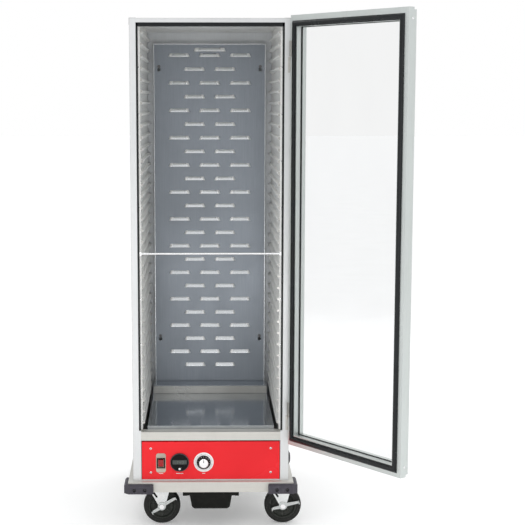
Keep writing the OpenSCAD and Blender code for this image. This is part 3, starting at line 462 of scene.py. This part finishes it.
class Form:
    """A mesh being drawn in millimetres; each shape goes through its own turn and then the form's place."""

    def __init__(self, place=HOME):
        self.bm = bmesh.new()
        self.place = place

    def add(self, points, faces, turn=SAME, paint=0):
        move = self.place @ turn
        verts = [self.bm.verts.new(move @ Vector(point)) for point in points]
        for corners in faces:
            self.bm.faces.new([verts[i] for i in corners]).material_index = paint

    def lathe(self, profile, turn=SAME, steps=64, paint=0, ring=False):
        """profile is (radius, height) pairs, turned about z; a ring joins its last point to its first."""
        n = len(profile)
        points = []
        for s in range(steps):
            a = 2 * math.pi * s / steps
            points += [(r * math.cos(a), r * math.sin(a), h) for r, h in profile]
        faces = []
        for s in range(steps):
            a, b = s * n, (s + 1) % steps * n
            faces += [(a + i, b + i, b + (i + 1) % n, a + (i + 1) % n) for i in range(n if ring else n - 1)]
        self.add(points, faces, turn, paint)

    def prism(self, outline, low, high, turn=SAME, paint=0):
        """outline is (x, y) pairs, drawn up along z from low to high."""
        n = len(outline)
        points = [(x, y, low) for x, y in outline] + [(x, y, high) for x, y in outline]
        sides = [(i, (i + 1) % n, n + (i + 1) % n, n + i) for i in range(n)]
        self.add(points, [tuple(range(n))[::-1], tuple(range(n, 2 * n))] + sides, turn, paint)

    def block(self, low, high, turn=SAME, paint=0):
        x, y = (low[0], high[0]), (low[1], high[1])
        self.prism([(x[0], y[0]), (x[1], y[0]), (x[1], y[1]), (x[0], y[1])], low[2], high[2], turn, paint)

    def surround(self, profile, low, high, turn=SAME, paint=0):
        """profile is (in, out) pairs, swept round the rectangle from low to high (x, z), mitred."""
        n = len(profile)
        points = []
        for cx, cz in ((0, 0), (1, 0), (1, 1), (0, 1)):
            for inward, out in profile:
                x = high[0] - inward if cx else low[0] + inward
                z = high[1] - inward if cz else low[1] + inward
                points.append((x, -out, z))
        faces = []
        for c in range(4):
            a, b = c * n, (c + 1) % 4 * n
            faces += [(a + i, b + i, b + (i + 1) % n, a + (i + 1) % n) for i in range(n)]
        self.add(points, faces, turn, paint)

    def rivet(self, x, y, z, facing, radius=2.6, height=1.1):
        """A domed head whose flat side lies at x, y, z."""
        dome = [(radius * math.cos(a), height * math.sin(a)) for a in (k * math.pi / 8 for k in range(5))]
        self.lathe([(0, 0)] + dome, shift(x, y, z) @ facing, 16)


def ring_outline(width, height, radius, steps=6):
    """The outline of a rectangle with rounded corners, about 0, 0."""
    outline = []
    for k, (sx, sy) in enumerate(((1, 1), (-1, 1), (-1, -1), (1, -1))):
        for s in range(steps + 1):
            a = math.pi / 2 * (k + s / steps)
            outline.append((sx * (width / 2 - radius) + radius * math.cos(a),
                            sy * (height / 2 - radius) + radius * math.sin(a)))
    return outline


def piece(name, form, paints, body, nodes=(), bevel=0.0, sharp=32, wall=0.0):
    """Makes the form an object that moves with body and, where nodes are given, stands for them."""
    bmesh.ops.remove_doubles(form.bm, verts=form.bm.verts, dist=2e-6)
    if not wall:
        bmesh.ops.recalc_face_normals(form.bm, faces=form.bm.faces)
    mesh = bpy.data.meshes.new(name)
    form.bm.to_mesh(mesh)
    form.bm.free()
    if sharp:
        mesh.shade_smooth()
        mesh.set_sharp_from_angle(angle=math.radians(sharp))
    for key in paints:
        mesh.materials.append(MATERIALS[key])
    obj = bpy.data.objects.new(name, mesh)
    bpy.context.collection.objects.link(obj)
    if wall:
        shell = obj.modifiers.new("wall", "SOLIDIFY")
        shell.thickness = wall * MM
        shell.offset = -1
    if bevel:
        edge = obj.modifiers.new("bevel", "BEVEL")
        edge.width = bevel * MM
        edge.segments = 2
        edge.limit_method = "ANGLE"
        edge.angle_limit = math.radians(35)
        edge.harden_normals = True
    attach(obj, body)
    if nodes:
        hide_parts(*nodes)
    return obj


# ---- wheels and brake levers ----


LEVER_LEAN = {"front_left": 30, "front_right": 12}
LEVER_PLANE = -23.8
ARM_OFFSET = 2


def mirrored(profile):
    """A closed profile from its half at positive height."""
    return profile + [(r, -h) for r, h in reversed(profile)]


# Half profiles, as (radius, height over the wheel's middle)
TYRE = mirrored([(45.8, 14.6), (46.6, 15.6), (48.4, 16), (51.6, 16), (52.2, 15.5), (52.8, 16),
                 (56.6, 16), (59.4, 15.2), (61.6, 13.4), (62.9, 10.8), (63.4, 7.5), (63.5, 3)])
HUB = mirrored([(6.1, 18.6), (6.6, 19), (15.6, 19), (16.8, 18.2), (17.4, 16.5), (18.2, 8),
                (19.6, 6.6), (22, 6.2), (28.6, 6.2), (29.4, 7.2), (31, 7.2), (31.8, 6.2),
                (36.6, 6.2), (38.6, 7.0), (40.2, 9.5), (41.2, 13.6), (42.2, 15), (43.6, 15.5),
                (45.4, 15.3), (45.8, 14.4)])
SPOKES = 8
SPOKE_HALF = 1.3
SPOKE_REACH = (19, 38.4)
SPOKE_DEPTH = (5.5, 8.4)


def make_wheels():
    """Each wheel is a tyre with a fine groove in each side, round a hub with spokes on both sides."""
    for corner in CORNERS:
        place = wheel_place(corner)
        tyre = Form(place)
        tyre.lathe(TYRE, TO_FRONT, 96, ring=True)
        piece("tyre_" + corner, tyre, ["tyre"], "roll_" + corner, ["wheel_" + corner])
        hub = Form(place)
        hub.lathe(HUB, TO_FRONT, 96, ring=True)
        for k in range(SPOKES):
            spoke = Matrix.Rotation(2 * math.pi * k / SPOKES, 4, "Y")
            for side in (-1, 1):
                low, high = sorted(side * depth for depth in SPOKE_DEPTH)
                hub.block((SPOKE_REACH[0], low, -SPOKE_HALF), (SPOKE_REACH[1], high, SPOKE_HALF), spoke)
        piece("hub_" + corner, hub, ["hub"], "roll_" + corner, ["wheel_" + corner])


def arm_outline(length, root, tip, steps=8):
    """Half of a lever's plate: an arm from 0 to length, from root wide to tip wide, with a rounded end."""
    turns = [math.pi * s / steps for s in range(steps + 1)]
    end = [(length - tip + tip * math.sin(a), tip * math.cos(a)) for a in turns]
    return [(0, root)] + end + [(0, -root)]


def lever_arms(form, arms, root, tip, low, high, turn):
    """A straight arm to each side, a little off the middle so that the two make a shallow Z."""
    for side, length in ((1, arms[0]), (-1, arms[1])):
        outline = [(side * x, y + side * ARM_OFFSET) for x, y in arm_outline(length, root, tip)]
        form.prism(outline[::side], low, high, turn)


def make_levers():
    """Each brake lever is a pressed plate on the axle with two arms, each ending in a bent foot tab."""
    for corner, lean in LEVER_LEAN.items():
        lever = Form(wheel_place(corner))
        tilt = shift(0, LEVER_PLANE, 0) @ Matrix.Rotation(-math.radians(lean), 4, "Y")
        plate = tilt @ TO_FRONT
        disc = [(6.2, 0), (14, 0), (14, 3), (12.6, 3.3), (6.2, 3.3)]
        lever.lathe(disc, plate, 48, ring=True)
        lever_arms(lever, (55.5, 38.5), 6.4, 4.6, 0.1, 2.9, plate)
        # Foot tabs, bent away from the wheel
        lever.block((54.6, -11, -3.4), (57.8, -0.3, 7.2), tilt)
        lever.block((-40, -11, -8.2), (-36.8, -0.3, 2.2), tilt)
        # Pressed rib along each arm
        lever_arms(lever, (47, 31), 1.7, 1.5, 2.8, 3.9, plate)
        piece("lever_" + corner, lever, ["lever"], "lever_" + corner, ["brake_" + corner],
              bevel=0.5)


# ---- louvred duct panel ----

LOUVRE_PITCH = 50.6
LOUVRE_STEP = 113.5
LOUVRE_LENGTH = 80
LOUVRE_ROWS = 24
# Height of the first row over the panel's lower edge, and the long louvre's length and drop from its top
FIRST_ROW = 74
LONG_LOUVRE = 120
LONG_DROP = 28
HOOD_OUT = 5.0
HOOD_RISE = 13.5
HOOD_TAPER = 6
DUCT_DEPTH = 43.8
DUCT_SHEET = 1.2
SLOT_HIGH = 5
SLOT_INSET = 2
HEM = 2.4
# Keyholes: the slot over the stud, the round entry below it, and the cell of sheet around both
STUD_HEAD = 5.6
SLOT_R = 3.3
ENTRY_R = 6.5
KEY_DROP = 12
KEY_HALF = 9
KEY_LOW = 21


def louvre_places(low, high):
    """(x, z, length) of each louvre: rows of two and of three in turn, and a long one at the top."""
    places = []
    for row in range(LOUVRE_ROWS):
        z = low + FIRST_ROW + row * LOUVRE_PITCH
        for step in ((-0.5, 0.5), (-1, 0, 1))[row % 2]:
            places.append((step * LOUVRE_STEP, z, LOUVRE_LENGTH))
    places.append((0, high - LONG_DROP, LONG_LOUVRE))
    return places


def hood(form, x, z, length, face):
    """A pressed hood, open below: a sloping face whose tapered ends round into the panel, with the faces near
    each end in a brighter material as a painted highlight.
    """
    across, up = 22, 6
    # How many columns at each end take the bright material: a painted highlight.
    painted_highlight_ends = 5
    lip, sheet, round_end = 0.3, 0.9, 6
    # shine collects the end faces, which get the bright painted highlight material.
    points, faces, shine = [], [], []
    for thin in (0, sheet):
        for i in range(across + 1):
            along = i / across * 2 - 1
            s = math.copysign(1 - (1 - abs(along)) ** 1.6, along)
            for j in range(up + 1):
                h = j / up
                half = length / 2 - HOOD_TAPER * h - thin
                from_end = min(1, (1 - abs(s)) * half / round_end)
                swell = math.sqrt(1 - (1 - from_end) ** 2)
                crown = (1 - h ** 3) * (1 - 0.25 * h)
                y = face + lip - (HOOD_OUT - thin + lip) * swell * crown
                points.append((x + s * half, y, z + (HOOD_RISE - thin) * h))
    columns = up + 1
    inner = columns * (across + 1)
    for i in range(across):
        paint = shine if min(i, across - 1 - i) < painted_highlight_ends else faces
        for j in range(up):
            a = i * columns + j
            paint.append((a, a + columns, a + columns + 1, a + 1))
            faces.append((inner + a + 1, inner + a + columns + 1, inner + a + columns, inner + a))
        for a, flip in ((i * columns, 1), (i * columns + up, -1)):
            faces.append((a, inner + a, inner + a + columns, a + columns)[::flip])
    for a, flip in ((0, -1), (across * columns, 1)):
        faces += [(a + j, a + j + 1, inner + a + j + 1, inner + a + j)[::flip] for j in range(up)]
    form.add(points, faces)
    # The end faces again, in the bright second material: a painted highlight.
    form.add(points, shine, paint=1)


def pierced_sheet(form, low, high, face, holes):
    """A flat sheet at y = face with rectangular holes, each (left, right, low, high)."""
    xs = sorted({low.x, high.x} | {v for hole in holes for v in hole[:2]})
    zs = sorted({low.z, high.z} | {v for hole in holes for v in hole[2:]})
    grid = {(x, z): form.bm.verts.new(form.place @ Vector((x, face, z))) for x in xs for z in zs}
    for x0, x1 in zip(xs, xs[1:]):
        for z0, z1 in zip(zs, zs[1:]):
            x, z = (x0 + x1) / 2, (z0 + z1) / 2
            if not any(a < x < b and c < z < d for a, b, c, d in holes):
                form.bm.faces.new([grid[x0, z0], grid[x1, z0], grid[x1, z1], grid[x0, z1]])


def make_duct_panel():
    """The louvred panel: a pierced sheet with keyholes and side returns, its hems, and its hoods."""
    low, high = span("duct_panel")
    face = high.y - DUCT_DEPTH
    louvres = louvre_places(low.z, high.z)
    stud_low, stud_high = span("duct_studs")
    studs = [(x, z) for x in (stud_low.x + STUD_HEAD, stud_high.x - STUD_HEAD)
             for z in (stud_low.z + STUD_HEAD, stud_high.z - STUD_HEAD)]
    slots = [(x - length / 2 + SLOT_INSET, x + length / 2 - SLOT_INSET, z, z + SLOT_HIGH)
             for x, z, length in louvres]
    keys = [(x - KEY_HALF, x + KEY_HALF, z - KEY_LOW, z + KEY_HALF) for x, z in studs]
    sheet = Form()
    pierced_sheet(sheet, low, high, face, slots + keys)
    for x, z in studs:
        key_cell(sheet, x, z, face)
    # Returns along both long edges
    for side, x in ((-1, low.x), (1, high.x)):
        corners = [(x, face, low.z), (x, high.y, low.z), (x, high.y, high.z), (x, face, high.z)]
        sheet.add(corners, [(0, 1, 2, 3)[::side]])
    # The hems are in the lighter hood metal: a painted highlight along the folded edges.
    hems = Form()
    edge, proud, sunk = 0.2, 0.7, 0.2
    inner = high.x - edge - HEM
    for side in (-1, 1):
        x0, x1 = sorted((side * (high.x - edge), side * inner))
        hems.block((x0, face - proud, low.z), (x1, face + sunk, high.z))
    hems.block((-inner, face - proud, high.z - HEM), (inner, face + sunk, high.z))
    piece("duct_hems", hems, ["hood"], "duct", ["duct_panel"], bevel=0.3)
    piece("duct_sheet", sheet, ["duct"], "duct", ["duct_panel"], sharp=0,
          wall=DUCT_SHEET)
    # The hoods are in the lighter hood metal: a painted highlight against the darker duct sheet.
    hoods = Form()
    for x, z, length in louvres:
        hood(hoods, x, z, length, face)
    # The second material, on the ends of each hood, is a painted highlight.
    piece("duct_hoods", hoods, ["hood", "painted_highlight_ends"], "duct", ["duct_panel"], sharp=50)


def key_cell(form, x, z, face):
    """The sheet round a keyhole: a narrow slot over the stud, with a round entry below it."""
    left, right, low, high = x - KEY_HALF, x + KEY_HALF, z - KEY_LOW, z + KEY_HALF
    outer = [(left, low), (right, low), (right, high), (left, high)]
    half_turn = [math.pi * s / 8 for s in range(9)]
    slot = [(x + SLOT_R * math.cos(a), z + SLOT_R * math.sin(a)) for a in half_turn]
    neck = math.asin(SLOT_R / ENTRY_R)
    turns = [neck + (2 * math.pi - 2 * neck) * s / 20 for s in range(21)]
    inner = slot + [(x - ENTRY_R * math.sin(b), z - KEY_DROP + ENTRY_R * math.cos(b)) for b in turns]
    edges = []
    for loop in (outer, inner):
        verts = [form.bm.verts.new(HOME @ Vector((a, face, b))) for a, b in loop]
        edges += [form.bm.edges.new((verts[i - 1], verts[i])) for i in range(len(verts))]
    bmesh.ops.triangle_fill(form.bm, use_beauty=True, edges=edges, normal=(0, -1, 0))


# ---- door gasket and trims ----

# The seal's section, as (in from its outer edge, out from the door)
GASKET = [(0, 0), (0, 1.4), (1.2, 2.3), (2.4, 2.6), (3.0, 4.6), (4.2, 6.6), (6.0, 7.5), (8.4, 7.6),
          (11.6, 7.6), (13.6, 7.2), (14.9, 6.0), (15.5, 4.2), (15.7, 2.6), (17.2, 2.3), (18.5, 1.4),
          (18.5, 0)]
GASKET_HALF = 250
GASKET_Z = (320, 1697)
DOOR_FACE = -8


def make_gasket():
    """Magnetic bulb seal round the inside of the door, with a flat dart strip on each side of the bulb."""
    gasket = Form(door_place())
    backwards = shift(0, DOOR_FACE, 0) @ Matrix.Scale(-1, 4, (0, 1, 0))
    gasket.surround(GASKET, (-GASKET_HALF, GASKET_Z[0]), (GASKET_HALF, GASKET_Z[1]), backwards)
    piece("bulb_gasket", gasket, ["rubber"], "door", ["door_gasket"], sharp=50)


# The cavity's mouth, between the posts and under the header
MOUTH_HALF = 240.6
MOUTH_Z = (347, 1693.6)
# The side walls and the ledges on them: the section as (out from the wall, height over its line)
WALL_X = 232
LEDGE_COUNT = 35
LEDGE_SECTION = [(0, -8), (10, -4.5), (10, 1.5), (0, 4)]


def make_breaker():
    """Black plastic strip between the front frame and the liners, on both sides and under the header."""
    strip = Form()
    # (back from the frame's face, in from the mouth's edge)
    outline = [(2, 0.6), (3, 0), (18, 0), (19, 0.6), (19, 6), (2, 6)]
    for side in (-1, 1):
        bar = [(side * (MOUTH_HALF - inward), y) for y, inward in outline]
        strip.prism(bar[::side], *MOUTH_Z)
    under_header = [(y, MOUTH_Z[1] - 2 * inward) for y, inward in outline]
    strip.prism(under_header, -MOUTH_HALF, MOUTH_HALF, YZ_TO_X)
    piece("breaker_strip", strip, ["rubber"], "cabinet")


def make_ledge_caps():
    """Closed front ends of the ledges, folded across each channel."""
    low, high = span("pan_ledges")
    heights = [rise for depth, rise in LEDGE_SECTION]
    pitch = (high.z - low.z - (max(heights) - min(heights))) / (LEDGE_COUNT - 1)
    caps = Form()
    for side in (-1, 1):
        for k in range(LEDGE_COUNT):
            z = low.z - min(heights) + k * pitch
            face = [(side * (WALL_X - depth), z + rise) for depth, rise in LEDGE_SECTION]
            caps.prism(face[::-side], -low.y - 0.4, 0.5 - low.y, TO_FRONT)
    piece("ledge_caps", caps, ["worn"], "cabinet", bevel=0.3)


# Front face and top of the riser behind the deck, and the deck's own top
RISER_Y = 555
RISER_Z = 382
DECK_Z = 352


def make_riser():
    """Folded plate over the front of the riser behind the deck, with dark seams over and under it."""
    low, high = span("heater_deck")
    plate = Form()
    plate.block((low.x + 1.5, RISER_Y - 1.0, DECK_Z + 0.6), (high.x - 1.5, RISER_Y + 0.2, RISER_Z - 2.4))
    piece("riser_plate", plate, ["worn"], "cabinet", bevel=0.3)
    seam = Form()
    seam.block((low.x + 0.5, RISER_Y - 0.5, RISER_Z - 2.2), (high.x - 0.5, RISER_Y + 0.2, RISER_Z - 0.9))
    seam.block((low.x + 0.5, RISER_Y - 0.9, DECK_Z - 0.4), (high.x - 0.5, RISER_Y - 0.1, DECK_Z + 0.5))
    piece("riser_seam", seam, ["dark_steel"], "cabinet")


# ---- outer shell: edge angles, rivets and service cover ----


ANGLE_LEG = 24
EDGE_LEG = 22
SIDE_RIVETS = 13
SIDE_RIVET_PITCH = 123
TOP_RIVETS = 6
TOP_RIVET_PITCH = 128


def make_shell_trim():
    """Riveted angles down the back corners and along the top edges of the body."""
    x, top = span("skin_right")[1].x, span("skin_top")[1].z
    bottom, back = span("skin_back")[0].z + 2, span("skin_back")[1].y
    angles = Form()
    rivets = Form()
    for side in (-1, 1):
        leg = [(side * (x - ANGLE_LEG), back), (side * (x - ANGLE_LEG), back + 1), (side * (x + 1), back + 1),
               (side * (x + 1), back - ANGLE_LEG), (side * x, back - ANGLE_LEG), (side * x, back)]
        angles.prism(leg[::-side], bottom, top - 0.2)
        edge = [(side * (x - EDGE_LEG), top), (side * (x - EDGE_LEG), top + 1), (side * (x + 1), top + 1),
                (side * (x + 1), top - EDGE_LEG), (side * x, top - EDGE_LEG), (side * x, top)]
        angles.prism(edge, 1.2, back - ANGLE_LEG - 0.5, XZ_TO_Y)
        turn = TO_RIGHT if side > 0 else TO_LEFT
        for k in range(SIDE_RIVETS):
            z = 200 + k * SIDE_RIVET_PITCH
            rivets.rivet(side * (x + 1), back - 12, z, turn)
            rivets.rivet(side * (x - 12), back + 1, z, TO_BACK)
            rivets.rivet(side * x, 12, z, turn)
        for k in range(TOP_RIVETS):
            y = 40 + k * TOP_RIVET_PITCH
            rivets.rivet(side * (x + 1), y, top - 12, turn)
            rivets.rivet(side * (x - 11), y, top + 1, SAME)
    for k in range(5):
        rivets.rivet(-180 + k * 90, back, top - 14, TO_BACK)
    piece("corner_angles", angles, ["angle"], "cabinet", bevel=0.4)
    piece("shell_rivets", rivets, ["bright"], "cabinet")


COVER_LEFT = -216
COVER_HIGH = 96
COVER_Z = 238


def make_service_cover():
    """Screwed cover low on the back, over the heater and wiring, with rows of pressed slots."""
    back = span("skin_back")[1].y
    inlet_low, inlet_high = span("cord_inlet")
    right = inlet_low.x - 14
    cover = Form()
    middle = shift((COVER_LEFT + right) / 2, back, COVER_Z) @ TO_BACK
    cover.prism(ring_outline(right - COVER_LEFT, COVER_HIGH, 6), 0, 1.2, middle)
    piece("service_cover", cover, ["angle"], "cabinet", bevel=0.3)
    slots = Form()
    for row in (-1, 0, 1):
        for k in range(6):
            place = shift(-150 + k * 44, back + 1.2, COVER_Z - 2 + row * 22) @ TO_BACK
            slots.prism(ring_outline(34, 6, 2.9), 0, 1.6, place)
    piece("cover_slots", slots, ["skin"], "cabinet", bevel=0.6)
    screws = Form()
    for x in (COVER_LEFT + 10, -100, right - 10):
        for z in (COVER_Z - 42, COVER_Z + 42):
            screws.rivet(x, back + 1.2, z, TO_BACK, 3.2, 1.8)
    for x in (inlet_low.x + 5, inlet_high.x - 5):
        screws.rivet(x, inlet_high.y - 0.5, (inlet_low.z + inlet_high.z) / 2, TO_BACK, 2.4, 1.4)
    piece("cover_screws", screws, ["bright"], "cabinet")


# ---- control details ----


def make_dial():
    """Marks round the thermostat's white plate, and the black skirt with the bright cap of its knob."""
    low, high = span("dial_plate")
    x, z, y = (low.x + high.x) / 2, (low.z + high.z) / 2, low.y
    marks = Form()
    for k in range(28):
        length = 3.4 if k % 3 == 0 else 1.6
        turn = shift(x, y, z) @ Matrix.Rotation(math.radians(-135 + k * 10), 4, "Y")
        marks.block((-0.3, -0.25, 27.0), (0.3, 0, 27.0 + length), turn)
    piece("dial_marks", marks, ["print"], "cabinet")
    knob_low, knob_high = span("thermostat_knob")
    knob = Form()
    base = shift(x, knob_high.y, z) @ TO_FRONT
    skirt = [(3.2, 0.2), (22.6, 0.2), (23.5, 0.8), (23.5, 1.8), (22.4, 3.6), (17.4, 4.6), (3.2, 4.6)]
    knob.lathe(skirt, base, 72, ring=True)
    # Fluted cap
    flutes, steps = 24, 144
    outline = []
    for s in range(steps):
        a = 2 * math.pi * s / steps
        r = 15.7 - 0.7 * (0.5 + 0.5 * math.cos(flutes * a)) ** 2
        outline.append((r * math.cos(a), r * math.sin(a)))
    depth = knob_high.y - knob_low.y
    knob.prism(outline, 4.4, depth - 3.4, base, 1)
    top = [(0, depth - 2.2), (11.6, depth - 2.0), (14.2, depth - 2.4), (15.1, depth - 3.5), (0, depth - 3.5)]
    knob.lathe(top, base, 72, paint=1)
    # Pointer line across half of the cap
    knob.block((-1.1, -depth, 3), (1.1, 3 - depth, 13), shift(x, knob_high.y, z))
    # White marks on the skirt
    for k in range(11):
        turn = shift(x, knob_high.y - 3.0, z) @ Matrix.Rotation(math.radians(-125 + k * 25), 4, "Y")
        knob.block((-0.5, -1.5, 18.4), (0.5, 0, 21.0), turn, 2)
    piece("knob_detail", knob, ["black", "bright", "pale_print"], "knob", ["thermostat_knob"],
          bevel=0.25)


# Which bars of a seven-bar figure are lit, and each bar's middle and whether it lies flat
DIGITS = {"1": "bc", "4": "bcfg", "0": "abcdef"}
BARS = {"a": (0, 5, True), "d": (0, -5, True), "g": (0, 0, True), "f": (-2.6, 2.5, False),
        "b": (2.6, 2.5, False), "e": (-2.6, -2.5, False), "c": (2.6, -2.5, False)}


def make_meter():
    """Bevelled rim and dim figures of the thermometer."""
    low, high = span("thermometer_case")
    x, z = (low.x + high.x) / 2, (low.z + high.z) / 2
    rim = Form()
    out = shift(x, 0, z) @ TO_FRONT
    reach = -low.y
    section = [(28.2, reach - 0.4), (29.0, reach), (30.6, reach), (31.4, reach - 1.0), (31.5, 0.2),
               (28.2, 0.2)]
    rim.lathe(section, out, 96, ring=True)
    piece("thermometer_rim", rim, ["vent"], "cabinet")
    screen_low, screen_high = span("thermometer_screen")
    middle = (screen_low + screen_high) / 2
    front = screen_low.y
    figures = Form()
    for k, digit in enumerate("140"):
        for bar in DIGITS[digit]:
            bar_x, bar_z, flat = BARS[bar]
            wide, tall = (1.9, 0.45) if flat else (0.45, 2.1)
            cx, cz = middle.x + (k - 1) * 10 + bar_x, middle.z + bar_z
            figures.block((cx - wide, front - 0.15, cz - tall), (cx + wide, front + 0.05, cz + tall))
    piece("thermometer_figures", figures, ["segment"], "cabinet")


# The middle of each line and half its length
PANEL_LINES = [(-168, 7), (-105, 12), (-24, 5)]


def make_panel_print():
    """A short plain line under each control, and the black surround of the rocker."""
    lines = Form()
    for x, half in PANEL_LINES:
        lines.block((x - half, -0.15, 197.2), (x + half, 0.05, 199.4))
    piece("panel_lines", lines, ["pale_print"], "cabinet")
    low, high = span("switch_rocker")
    margin = 5.2
    section = [(0, 0), (0, 1.6), (0.8, 2.2), (3.6, 2.2), (4.4, 1.4), (4.4, 0)]
    surround = Form()
    surround.surround(section, (low.x - margin, low.z - margin), (high.x + margin, high.z + margin),
                      shift(0, -2.2, 0))
    piece("switch_surround", surround, ["black"], "cabinet", bevel=0.2)


def cross_screw(form, x, y, z, facing, radius):
    """A domed screw head with a cross of two dark bars; each place turns its head differently."""
    form.rivet(x, y, z, facing, radius, radius * 0.5)
    turn = shift(x, y, z) @ facing @ Matrix.Rotation(0.4 + x * 0.03, 4, "Z")
    long, wide, top = radius * 0.55, radius * 0.12, radius * 0.5
    form.block((-long, -wide, top - 0.6), (long, wide, top + 0.06), turn, 1)
    form.block((-wide, -long, top - 0.6), (wide, long, top + 0.06), turn, 1)


PANEL_SCREW_X = 202
PANEL_SCREW_Z = (201.5, 284.5)
BUMPER_SCREW_X = (222, 257)
BUMPER_SCREW_Z = 149
BUMPER_RECESS = 6


def make_front_screws():
    """Four screws in the corners of the red panel, and two deep in each corner bumper."""
    panel = Form()
    for x in (-PANEL_SCREW_X, PANEL_SCREW_X):
        for z in PANEL_SCREW_Z:
            cross_screw(panel, x, 0, z, TO_FRONT, 4.4)
    piece("panel_screws", panel, ["bright", "print"], "cabinet", ["front_screws"])
    low, high = span("bumpers")
    sunk = Form()
    for x in (side * place for side in (-1, 1) for place in BUMPER_SCREW_X):
        cross_screw(sunk, x, low.y + BUMPER_RECESS, BUMPER_SCREW_Z, TO_FRONT, 4.6)
        cross_screw(sunk, x, high.y - BUMPER_RECESS, BUMPER_SCREW_Z, TO_BACK, 4.6)
    piece("bumper_screws", sunk, ["dark_steel", "print"], "cabinet", ["front_screws"])


# ---- the floor, and everything made ----


def make_floor():
    """A wide pale floor that glows a little, so that it stays nearly white."""
    t = Tree("pale_floor")
    t.set(Base_Color=t.ramp(t.noise(3, 3), (0.90, 0.90, 0.90), (0.93, 0.93, 0.93), 0.3, 0.7))
    t.set(Roughness=t.ramp(t.noise(40, 3), 0.6, 0.75, 0.3, 0.7))
    t.shader.inputs["Emission Color"].default_value = (1, 1, 1, 1)
    t.shader.inputs["Emission Strength"].default_value = 0.20
    mesh = bpy.data.meshes.new("floor")
    half = 50
    corners = [(-half, -half, 0), (half, -half, 0), (half, half, 0), (-half, half, 0)]
    mesh.from_pydata(corners, [], [(0, 1, 2, 3)])
    mesh.materials.append(t.material)
    floor = bpy.data.objects.new("floor", mesh)
    floor.location.z = -0.0005
    bpy.context.collection.objects.link(floor)


make_wheels()
make_levers()
make_duct_panel()
make_gasket()
make_breaker()
make_ledge_caps()
make_riser()
make_shell_trim()
make_service_cover()
make_dial()
make_meter()
make_panel_print()
make_front_screws()
make_floor()
